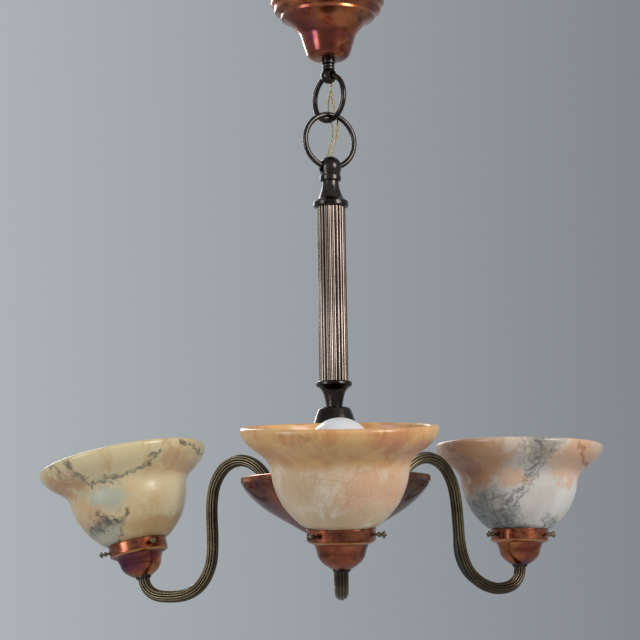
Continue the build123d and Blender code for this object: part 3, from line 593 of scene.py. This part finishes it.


# Centre bowl ----------------------------------------------------------------
# Sheet copper spun into a shallow bowl with an upright band round its rim,
# held up by a brass washer and a turned finial on the tie rod.
# The bowl's +X side carries painted shade in dark brown.
flamed_copper("bowl_copper", (0.3, 2.0, 0.2), 0.35, painted_shade_x=(-0.02, 0.06))
bowl_side = [*softened([(5.3, -566.0), (12.0, -566.0, 4.0), (34.0, -554.6)]), *flowing([
    (47.8, -546.6), (59.4, -539.9), (71.0, -532.6), (83.2, -522.4), (91.2, -513.1),
    (93.8, -508.2)]), *softened([(94.5, -507.1), (95.2, -506.7, 0.3), (95.4, -506.0, 0.4),
    (95.4, -501.3, 0.6), (94.4, -500.58)])]
bowl = lathe("bowl_spun", walled(bowl_side, copper_sheet), closed=True, around=144)
finished(bowl, "pendant", "flamed_copper", "bowl_copper", "centre_bowl")

worn_metal("olive_brass", tint(74, 62, 38), tint(126, 106, 66), tint(190, 164, 110), 0.30, 50)
finial = lathe("finial_turned", [
    (0.0, -568.08), *softened([(9.5, -568.08, 0.6), (9.5, -571.0, 1.0), (6.8, -571.2, 0.5),
                               (6.8, -573.0)]), *ball_arc(8.5, -581.576, 45, 180)], around=64)
dress("olive_brass", "bowl_washer")
finished(finial, "pendant", "arm_brass", "olive_brass", "bowl_finial")


# Arms -----------------------------------------------------------------------
# Brass tubes drawn with twelve broad reeds and bent by hand: level out of the
# hub, up and over the bowl's rim, down, and round under the shade. Olive patina
# rubbed bright on the reeds and brown in the grooves.
arm_z = -514.576
arm_start = 31.0
arm_reach = 229.0
# A sweep is (reach, height, heading) from the arm's crest to its lowest part.
arms = {
    "front": {"bearing": 1.0, "lean": 7.0, "tip_z": -599.82, "sweep": [
        (111.5, -479.2, 0), (134.5, -489.3, -49), (144.8, -511.0, -77), (147.8, -540.0, -88),
        (149.4, -569.0, -80), (161.0, -599.5, -52), (183.0, -615.8, -17), (204.0, -618.9, 0)]},
    "left": {"bearing": -117.5, "lean": 12.0, "tip_z": -597.57, "sweep": [
        (110.8, -478.8, 0), (132.6, -488.9, -49), (143.2, -509.5, -78), (145.2, -534.0, -91),
        (144.5, -561.0, -89), (147.4, -586.0, -71), (160.0, -605.8, -42), (178.0, -615.0, -14),
        (196.0, -616.7, 1)]},
    "right": {"bearing": 122.5, "lean": 1.5, "tip_z": -591.10, "sweep": [
        (112.0, -478.4, 0), (135.2, -489.3, -50), (146.0, -511.5, -77), (149.9, -544.0, -86),
        (153.6, -575.5, -74), (165.5, -598.2, -44), (183.0, -609.8, -20), (201.0, -613.4, 2)]},
}
lift_r, over_r, over_x = 45.0, 35.0, 111.4
end_r, tip_straight = 20.0, 1.5
arm_reeds, reed_steps = 12, 8
reed_crest, reed_valley = 6.2, 5.2
arm_reed_fullness = 0.75
arm_crease = radians(60)
arm_weld = 0.01 * mm
bend_steps = 14
handle_share = 0.345

brass = Finish("reeded_brass", Metallic=1.0, Coat_Weight=0.25, Coat_Roughness=0.12)
height = brass.node("Attribute", {"attribute_name": "reed_height"}, {}, "Fac")
patina = brass.noise(24, 4, 0.55, 0.3)
brass_colour = brass.mix(patina.between(0.36, 0.62), tint(84, 70, 54), tint(116, 104, 76))
brass_colour = brass.mix(patina.between(0.60, 0.74) * 0.5, brass_colour, tint(142, 134, 100))
groove_edge = height.between(0.20, 0.92)
brass.set(Base_Color=brass.mix(groove_edge, tint(40, 31, 24), brass_colour))
brass.set(Roughness=0.40 - 0.14 * groove_edge)
brass.bump(brass.noise(300, 2), 0.02 * mm, 0.2)


def arm_line(lean, tip_z, sweep):
    """Joints (reach, height, heading) along an arm, headings in degrees from level."""
    lift_x = over_x - sqrt((lift_r + over_r) ** 2 - lift_r**2)
    turn = asin((over_x - lift_x) / (lift_r + over_r))
    meet = (lift_x + lift_r * sin(turn), arm_z + lift_r * (1 - cos(turn)))
    heading = radians(90 - lean)
    end = (arm_reach - tip_straight * cos(heading), tip_z - tip_straight * sin(heading))
    middle_heading = heading / 2
    bend = (end[0] - end_r * (sin(heading) - sin(middle_heading)),
            end[1] + end_r * (cos(heading) - cos(middle_heading)))
    return [
        (arm_start, arm_z, 0), (lift_x, arm_z, 0), (*meet, turn * 180 / pi), *sweep,
        (*bend, middle_heading * 180 / pi), (*end, 90 - lean), (arm_reach, tip_z, 90 - lean),
    ]


def reeded_tube(name, joints):
    """A tube reeded all round, swept along an arm's joints.

    It keeps how far each point stands out of the grooves as reed_height.
    """
    bpy.ops.object.select_all(action="DESELECT")
    bpy.ops.curve.primitive_bezier_circle_add(radius=reed_crest * mm)
    section = bpy.context.object
    section.data.splines.clear()
    around = section.data.splines.new("POLY")
    around.points.add(arm_reeds * reed_steps - 1)
    around.use_cyclic_u = True
    for i, point in enumerate(around.points):
        share = sin(pi * (i % reed_steps) / reed_steps) ** arm_reed_fullness
        r = (reed_valley + (reed_crest - reed_valley) * share) * mm
        angle = 2 * pi * i / (arm_reeds * reed_steps)
        point.co = (r * cos(angle), r * sin(angle), 0, 1)
    bpy.ops.curve.primitive_bezier_curve_add()
    tube = bpy.context.object
    tube.name = tube.data.name = name
    spline = tube.data.splines[0]
    spline.bezier_points.add(len(joints) - 2)
    tube.data.resolution_u = bend_steps
    tube.data.twist_mode = "MINIMUM"
    places = [Vector((x, 0, z)) * mm for x, z, _ in joints]
    befores, afters = [places[0], *places[:-1]], [*places[1:], places[-1]]
    for point, here, before, after, (_, _, heading) in zip(
            spline.bezier_points, places, befores, afters, joints):
        ahead = Vector((cos(radians(heading)), 0, sin(radians(heading))))
        point.handle_left_type = point.handle_right_type = "FREE"
        point.co = here
        point.handle_left = here - ahead * handle_share * (here - before).length
        point.handle_right = here + ahead * handle_share * (after - here).length
    bpy.ops.object.convert(target="MESH", keep_original=True)
    centreline = bpy.context.object
    bpy.ops.object.select_all(action="DESELECT")
    tube.select_set(True)
    bpy.context.view_layer.objects.active = tube
    tube.data.bevel_mode = "OBJECT"
    tube.data.bevel_object = section
    tube.data.use_fill_caps = True
    bpy.ops.object.convert(target="MESH")
    tube = bpy.context.object
    near = KDTree(len(centreline.data.vertices))
    for i, vertex in enumerate(centreline.data.vertices):
        near.insert(vertex.co, i)
    near.balance()
    height = tube.data.attributes.new("reed_height", "FLOAT", "POINT")
    for vertex, value in zip(tube.data.vertices, height.data):
        stands_out = near.find(vertex.co)[2] / mm - reed_valley
        value.value = min(1.0, max(0.0, stands_out / (reed_crest - reed_valley)))
    bpy.data.objects.remove(section)
    bpy.data.objects.remove(centreline)
    bpy.ops.object.mode_set(mode="EDIT")
    bpy.ops.mesh.select_all(action="SELECT")
    bpy.ops.mesh.remove_doubles(threshold=arm_weld)
    bpy.ops.mesh.normals_make_consistent(inside=False)
    bpy.ops.object.mode_set(mode="OBJECT")
    bpy.ops.object.shade_smooth_by_angle(angle=arm_crease)
    return tube


arm_end = {}
for side, arm in arms.items():
    joints = arm_line(arm["lean"], arm["tip_z"], arm["sweep"])
    aim = turned_about(arm["bearing"] - 90, "Z")
    tip = Matrix.Translation((arm_reach * mm, 0, arm["tip_z"] * mm))
    arm_end[side] = aim @ tip @ turned_about(arm["lean"], "Y")
    tube = reeded_tube(f"arm_{side}_reeded", joints)
    settle(tube, aim)
    finished(tube, "pendant", "arm_brass", "reeded_brass", f"arm_{side}")

rubber = Finish("flex_cover_black", Roughness=0.5)
rubber.set(Base_Color=rubber.mix(rubber.noise(80), tint(30, 29, 28), tint(48, 46, 44)))
dress("flex_cover_black", "arm_flexes")
dress("black_bronze", "arm_collars")


# Galleries and thumbscrews --------------------------------------------------
# Spun copper cups with an upright brown band over a straw line. Three yellowed
# nickel thumbscrews, each with a barrel and a small knurled disc, go through
# the band and hold the shade's neck.
gallery_top = 39.5
flamed_copper("gallery_copper", (2.6, 0.1, 1.7), 0.5, band_foot=27.4)
gallery_side = [(5.3, 2.9), *flowing([
    (9.5, 2.9), (11.5, 4.2), (15.5, 7.0), (19.0, 10.5), (21.2, 14.5), (22.2, 18.5), (23.2, 21.5),
    (24.5, 24.6)]), *softened([
        (24.9, 25.1), (26.4, 25.3, 0.8), (30.8, 27.6, 1.6), (30.8, 38.4, 0.5), (31.2, 38.9, 0.4),
        (30.6, gallery_top)])]
screw_bearings = {"front": (-45, 75, 195), "left": (-90, 30, 150), "right": (-60, 60, 180)}
screw_z = 33.5
knurl_rows = 60
knurl_r = 2.9
worn_metal("screw_nickel_plate", tint(98, 88, 70), tint(146, 134, 108), tint(206, 196, 170),
           0.2, 90)
screw_outline = [
    (0.0, 28.75), *softened([(1.35, 28.75), (1.35, 33.6), (2.4, 33.6, 0.3), (2.4, 36.2, 0.3),
    (1.4, 36.5), (1.4, 38.0), (2.9, 38.3, 0.3), (3.2, 38.9, 0.3), (3.2, 40.1, 0.4), (1.5, 40.5)]),
    *ball_arc(1.5, 40.4, 80, 0, 6),
]


def knurl(screw):
    """Presses every third row of a thumbscrew's head in, along the screw."""
    bpy.ops.object.select_all(action="DESELECT")
    bpy.context.view_layer.objects.active = screw
    bpy.ops.object.mode_set(mode="EDIT")
    bpy.ops.mesh.select_all(action="DESELECT")
    bpy.ops.object.mode_set(mode="OBJECT")
    for vertex in screw.data.vertices:
        row = round(atan2(vertex.co.y, vertex.co.x) / (2 * pi) * knurl_rows)
        vertex.select = vertex.co.xy.length > knurl_r * mm and row % 3 == 0
    bpy.ops.object.mode_set(mode="EDIT")
    bpy.ops.transform.resize(value=(0.9, 0.9, 1), center_override=(0, 0, 0))
    bpy.ops.object.mode_set(mode="OBJECT")


for side, arm in arms.items():
    gallery = lathe(f"gallery_{side}_spun", walled(gallery_side, copper_sheet),
                    closed=True, around=112)
    settle(gallery, arm_end[side])
    finished(gallery, "pendant", "flamed_copper", "gallery_copper", f"gallery_{side}")
    for letter, bearing in zip("abc", screw_bearings[side]):
        name = f"thumbscrew_{side}_{letter}"
        screw = lathe(f"{name}_knurled", screw_outline, around=knurl_rows)
        knurl(screw)
        up = Matrix.Translation((0, 0, screw_z * mm))
        out = turned_about(bearing - arm["bearing"], "Z") @ up @ turned_about(90, "Y")
        settle(screw, arm_end[side] @ out)
        finished(screw, name, "screw_nickel", "screw_nickel_plate", name)


# Lampholders and bulbs ------------------------------------------------------
# Porcelain holders with brass threads, and frosted glass bulbs that unscrew
# through the shades' mouths.
worn_metal("thread_brass", tint(150, 120, 62), tint(190, 158, 92), tint(220, 196, 140), 0.32, 80)
dress("thread_brass", "lampholder_shells", "bulb_cap_front", "bulb_cap_left", "bulb_cap_right")
frost = Finish("frosted_bulb", Roughness=0.38, Subsurface_Weight=0.35, Subsurface_Scale=0.01,
               Coat_Weight=0.25, Coat_Roughness=0.2)
frost.set(Base_Color=frost.mix(frost.noise(40, 3), tint(226, 230, 234), tint(238, 240, 242)))
frost.bump(frost.noise(600, 2), 0.05 * mm, 0.3)
bulb_outline = [(0.0, 58.4), (12.9, 58.4), *flowing([
    (13.1, 58.6), (13.4, 64.0), (14.2, 69.6), (16.0, 75.8), (18.6, 81.6), (21.5, 86.8)]),
    *ball_arc(29.5, 107.9, 123, 0, 30)]
for side in arms:
    bulb = lathe(f"bulb_glass_{side}_blown", bulb_outline, around=96)
    settle(bulb, arm_end[side])
    finished(bulb, f"bulb_{side}", "frosted_glass", "frosted_bulb", f"bulb_glass_{side}")


# Shades ---------------------------------------------------------------------
# Bells of alabaster turned on a lathe: a neck that sits in the gallery, a round
# belly, a waist and a flared lip with a thick rounded rim. Each comes from its
# own block, so its clouds and veins are its own.
shade_side = flowing([
    (31.1, 0.4), (35.4, 2.6), (39.2, 5.9), (44.4, 11.2), (48.4, 15.8), (52.0, 20.8), (55.1, 26.6),
    (58.0, 33.4), (60.1, 40.0), (61.2, 46.0), (61.8, 50.0), (62.6, 54.2), (64.0, 57.8),
    (66.4, 61.2), (69.8, 64.4), (74.0, 67.8), (78.5, 71.2), (82.4, 74.8), (85.6, 78.6),
    (87.7, 82.4), (88.7, 86.0), (88.8, 87.5)], 3)
shade_wall = 6.0
neck_r, mouth_r = 28.4, 22.4
neck_depth = 10.0
crackle_layers = ((0.5, 0.05), (1.0, 0.06), (2.3, 0.06))
cloud_drift, seam_drift, crackle_drift = 0.07, 0.03, 0.022


def alabaster(name, ground, lip, lip_from, clouds, veined, seams, vein, crackle, shift):
    """Cut stone: a clouded ground, a streaked lip, stains, crackle and seams.

    Clouds are (x, z, half width, half height, tint, share) in metres as the
    light hangs, and veined patches are the same without their tint. Seams are
    (width, share, corners), with the corners (x, z) in millimetres.
    """
    stone = Finish(name, Subsurface_Weight=0.2, Subsurface_Radius=(1.0, 0.6, 0.35),
                   Subsurface_Scale=0.005, Coat_Weight=0.3, Coat_Roughness=0.1)
    where = stone.moved(place=shift)
    wide = stone.noise(14, 5, 0.6, 0.6, where)
    fine = stone.noise(52, 6, 0.65, 0.8, where)
    streak = stone.noise(36, 5, 0.6, 0.8, stone.moved(place=shift, scale=(1, 1, 0.35)))
    height = stone.node("Attribute", {"attribute_name": "own_height"}, {}, "Fac")
    height = height + 0.014 * (wide - 0.5)
    colour = stone.mix(wide.between(0.38, 0.62), *ground)
    colour = stone.mix(height.between(*lip_from), colour,
                       stone.mix(streak.between(0.44, 0.62), *lip))
    across = stone.axis("X") + cloud_drift * (wide - 0.5)
    up = stone.axis("Z") + cloud_drift * (fine - 0.5)

    def blot(x, z, half_width, half_height):
        aside, above = (across - x) / half_width, (up - z) / half_height
        return 1 - (aside * aside + above * above).between(0.2, 1.4)

    for *place, stain, share in clouds:
        colour = stone.mix(blot(*place) * share, colour, stain)
    drift = stone.node("TexNoise", {}, {"Vector": where, "Scale": 40.0, "Detail": 5.0}, 1)
    drift = stone.node("VectorMath", {"operation": "SCALE"}, {0: drift, "Scale": crackle_drift})
    bent = stone.node("VectorMath", {"operation": "ADD"}, {0: where, 1: drift})
    within = 0.0 * wide
    for *place, share in veined:
        within = within.sum("MAXIMUM", within, blot(*place) * share)
    for size, width in crackle_layers:
        cell = stone.node("TexVoronoi", {"feature": "DISTANCE_TO_EDGE"},
                          {"Vector": bent, "Scale": crackle * size})
        broken = stone.noise(crackle * size * 0.8, 3, 0.6).between(0.36, 0.52)
        line = (1 - cell.between(0.0, width)) * broken
        colour = stone.mix(within * line * 0.9, colour, vein)
    smudge = within * stone.noise(62, 6, 0.7, 1.2, where).between(0.46, 0.64) * 0.7
    colour = stone.mix(smudge, colour, vein)
    crossways = stone.axis("X") + seam_drift * (fine - 0.5)
    upright = stone.axis("Z") + seam_drift * (stone.noise(64, 5, 0.65, 0.8) - 0.5)
    for width, share, corners in seams:
        seam = 0.0 * wide
        for (x, z), (next_x, next_z) in zip(corners, corners[1:]):
            run, rise = (next_x - x) * mm, (next_z - z) * mm
            aside, above = crossways - x * mm, upright - z * mm
            along = (aside * run + above * rise) / (run * run + rise * rise)
            along = along.sum("MINIMUM", along.sum("MAXIMUM", along, 0.0), 1.0)
            off_x, off_z = aside - along * run, above - along * rise
            near = 1 - ((off_x * off_x + off_z * off_z) ** 0.5).between(0.0, width * mm)
            seam = seam.sum("MAXIMUM", seam, near)
        ragged = seam * (0.35 + 0.65 * stone.noise(150, 5, 0.7).between(0.36, 0.56))
        colour = stone.mix(ragged * share, colour, vein)
    scratch = stone.noise(260, 3, 0.7, where=stone.moved(scale=(0.25, 0.25, 3.2)))
    colour = stone.mix(scratch.between(0.60, 0.72) * 0.22, colour, vein)
    stone.set(Base_Color=colour, Roughness=0.26 + 0.16 * (scratch - 0.5) + 0.08 * fine)
    stone.bump(scratch * 0.7 + fine * 0.3, 0.22 * mm, 0.3)


peach, tan, brown = tint(226, 176, 138), tint(204, 152, 110), tint(160, 100, 66)
ochre, sage, slate = tint(212, 172, 112), tint(192, 194, 174), tint(148, 152, 146)
alabaster(
    "alabaster_front", (tint(238, 220, 196), tint(228, 196, 158)),
    (tint(232, 184, 122), tint(216, 156, 98)), (0.090, 0.100),
    [(0.03, -0.532, 0.03, 0.018, peach, 0.7), (-0.036, -0.526, 0.02, 0.022, ochre, 0.45),
     (0.0, -0.556, 0.05, 0.012, ochre, 0.6), (0.062, -0.52, 0.014, 0.03, peach, 0.6),
     (0.05, -0.488, 0.03, 0.012, tint(204, 128, 92), 0.6),
     (-0.03, -0.486, 0.03, 0.006, tint(206, 138, 90), 0.45)],
    [(0.01, -0.53, 0.05, 0.02, 0.18)],
    [(3, 0.35, [(-45, -478), (-30, -484), (-14, -496)]), (3, 0.25, [(-20, -520), (10, -536)])],
    tint(160, 110, 84), 60, (0.4, 1.1, 0.2))
alabaster(
    "alabaster_left", (tint(234, 216, 174), tint(222, 194, 144)),
    (tint(230, 212, 166), tint(222, 190, 140)), (0.088, 0.104),
    [(-0.236, -0.512, 0.026, 0.014, sage, 0.9), (-0.241, -0.556, 0.022, 0.016, sage, 0.8),
     (-0.178, -0.542, 0.03, 0.016, ochre, 0.8), (-0.280, -0.502, 0.022, 0.014, tan, 0.8),
     (-0.164, -0.474, 0.016, 0.016, tan, 0.55), (-0.25, -0.535, 0.016, 0.014, peach, 0.4)],
    [(-0.240, -0.545, 0.024, 0.012, 0.5)],
    [(3.4, 0.75, [(-280, -476), (-271, -486), (-259, -496), (-247, -500), (-230, -494),
                  (-209, -491), (-195, -482), (-181, -466)]),
     (4.5, 0.9, [(-248, -530), (-236, -539), (-222, -540), (-217, -525)]),
     (5.5, 0.8, [(-257, -549), (-241, -544), (-229, -538)]),
     (4.5, 0.7, [(-221, -541), (-227, -563)]), (2.5, 0.7, [(-294, -478), (-284, -493)]),
     (3.0, 0.9, [(-156, -458), (-138, -467), (-139, -481), (-149, -494)])],
    tint(82, 84, 82), 60, (2.3, 0.6, 1.9))
alabaster(
    "alabaster_right", (tint(230, 226, 218), tint(212, 204, 192)),
    (tint(226, 208, 188), tint(214, 178, 146)), (0.100, 0.120),
    [(0.137, -0.482, 0.048, 0.034, tan, 0.95), (0.122, -0.492, 0.02, 0.016, brown, 0.6),
     (0.262, -0.478, 0.018, 0.04, peach, 0.8), (0.262, -0.49, 0.004, 0.03, brown, 0.7),
     (0.160, -0.550, 0.045, 0.016, slate, 0.7), (0.150, -0.528, 0.012, 0.014, slate, 0.6),
     (0.222, -0.468, 0.018, 0.014, slate, 0.6), (0.190, -0.500, 0.016, 0.012, peach, 0.7),
     (0.242, -0.494, 0.014, 0.018, peach, 0.7)],
    [(0.160, -0.534, 0.036, 0.024, 0.7), (0.212, -0.474, 0.022, 0.018, 0.6),
     (0.195, -0.552, 0.06, 0.014, 0.7)],
    [(3.4, 0.7, [(206, -462), (214, -478), (206, -490), (190, -512), (172, -530)]),
     (2.6, 0.6, [(226, -470), (214, -486), (198, -512), (186, -528)])],
    tint(92, 94, 96), 115, (1.1, 3.2, 0.7))

# The rim is a half round as wide as the wall, from the outer line to the inner.
outer = [(r, gallery_top + z) for r, z in shade_side]
inner = walled(outer, shade_wall)[len(outer):]
lip, lip_inside = Vector(outer[-1]), Vector(inner[0])
middle = (lip + lip_inside) / 2
start = atan2(*(lip - middle).yx)
rim_angles = [start + pi * k / 10 for k in range(1, 10)]
rim = [(middle.x + shade_wall / 2 * cos(a), middle.y + shade_wall / 2 * sin(a))
       for a in rim_angles]
neck_foot = gallery_top - neck_depth
neck = [(mouth_r, neck_foot), (neck_r, neck_foot), (neck_r, gallery_top - 0.4),
        (neck_r + 1.0, gallery_top + 0.1)]
hollow = [p for p in inner if p[1] > gallery_top + 4]
shade_outline = [*neck, *outer, *rim, *hollow, (mouth_r, gallery_top + 3.0)]
for side in arms:
    shade = lathe(f"shade_{side}_turned", shade_outline, closed=True, around=144)
    settle(shade, arm_end[side])
    finished(shade, "pendant", "alabaster", f"alabaster_{side}", f"shade_{side}")


# Flex -----------------------------------------------------------------------
# Two clear-covered strands from the canopy to the stem, one copper and one
# tinned and yellowed, that wind loosely past the rings. Each comes in three
# lengths that meet in mid-air.
strand_d = 1.8 * mm
routes = {
    "gold": (
        [(0.54, 1.86, -47.3), (0.54, 1.86, -75.3), (2.36, 3.35, -85.03), (2.36, 3.35, -94.73),
         (2.2, 5.4, -106.0), (3.6, 7.0, -112.5)],
        [(3.6, 7.0, -112.5), (5.0, 8.6, -119.0), (8.6, 9.8, -132.0), (7.8, 8.4, -146.0),
         (6.2, 7.5, -152.5)],
        [(6.2, 7.5, -152.5), (4.6, 6.6, -159.0), (-0.4, 4.4, -171.0), (-2.72, 3.07, -182.98),
         (-1.69, 0.96, -195.98), (-1.69, 0.96, -227.48)],
    ),
    "olive": (
        [(1.93, 0.16, -47.3), (1.93, 0.16, -75.3), (3.75, 1.65, -85.03), (3.75, 1.65, -94.73),
         (0.6, 1.2, -105.0), (-0.6, 3.2, -111.5)],
        [(-0.6, 3.2, -111.5), (-1.8, 5.2, -118.0), (0.4, 8.4, -130.0), (4.4, 8.0, -143.0),
         (3.0, 7.0, -149.5)],
        [(3.0, 7.0, -149.5), (1.6, 6.0, -156.0), (-2.4, 3.6, -169.0), (-0.74, 4.03, -182.98),
         (0.29, 1.92, -195.98), (0.29, 1.92, -227.48)],
    ),
}
strand_lengths = {"gold": (65.9, 41.1, 76.8), "olive": (65.2, 39.6, 79.0)}
stages = (("upper", "ceiling", "ring_upper"), ("middle", "ring_upper", "ring_lower"),
          ("lower", "ring_lower", "pendant"))
strand_tints = {"gold": (tint(128, 88, 24), tint(190, 148, 60)),
                "olive": (tint(112, 98, 36), tint(176, 164, 88))}
for colour, lengths in routes.items():
    cover = Finish(f"flex_{colour}", Roughness=0.28, Coat_Weight=0.7, Coat_Roughness=0.08,
                   Metallic=0.35)
    lay = cover.node("TexWave", {"wave_type": "BANDS", "bands_direction": "DIAGONAL"},
                     {"Vector": cover.place, "Scale": 260.0, "Distortion": 2.0}, "Fac")
    cover.set(Base_Color=cover.mix(lay, *strand_tints[colour]))
    cover.bump(lay, 0.1 * mm, 0.5)
    for (stage_name, above, below), points, real in zip(stages, lengths, strand_lengths[colour]):
        bpy.ops.object.select_all(action="DESELECT")
        bpy.ops.curve.primitive_nurbs_path_add()
        strand = bpy.context.object
        strand.name = strand.data.name = f"strand_{colour}_{stage_name}"
        strand.data.splines.clear()
        line = strand.data.splines.new("NURBS")
        line.points.add(len(points) - 1)
        for point, place in zip(line.points, points):
            point.co = (*(Vector(place) * mm), 1)
        line.order_u = 3
        line.use_endpoint_u = True
        line.resolution_u = 12
        bare = bpy.data.meshes.new_from_object(strand)
        bpy.data.meshes.remove(bare)
        strand.data.bevel_depth = strand_d / 2
        strand.data.bevel_resolution = 3
        strand.data.use_fill_caps = True
        bpy.ops.object.convert(target="MESH")
        strand = bpy.context.object
        bpy.ops.object.shade_smooth()
        dress(f"flex_{colour}", strand)
        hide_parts(f"flex_{stage_name}")
        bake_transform(strand)
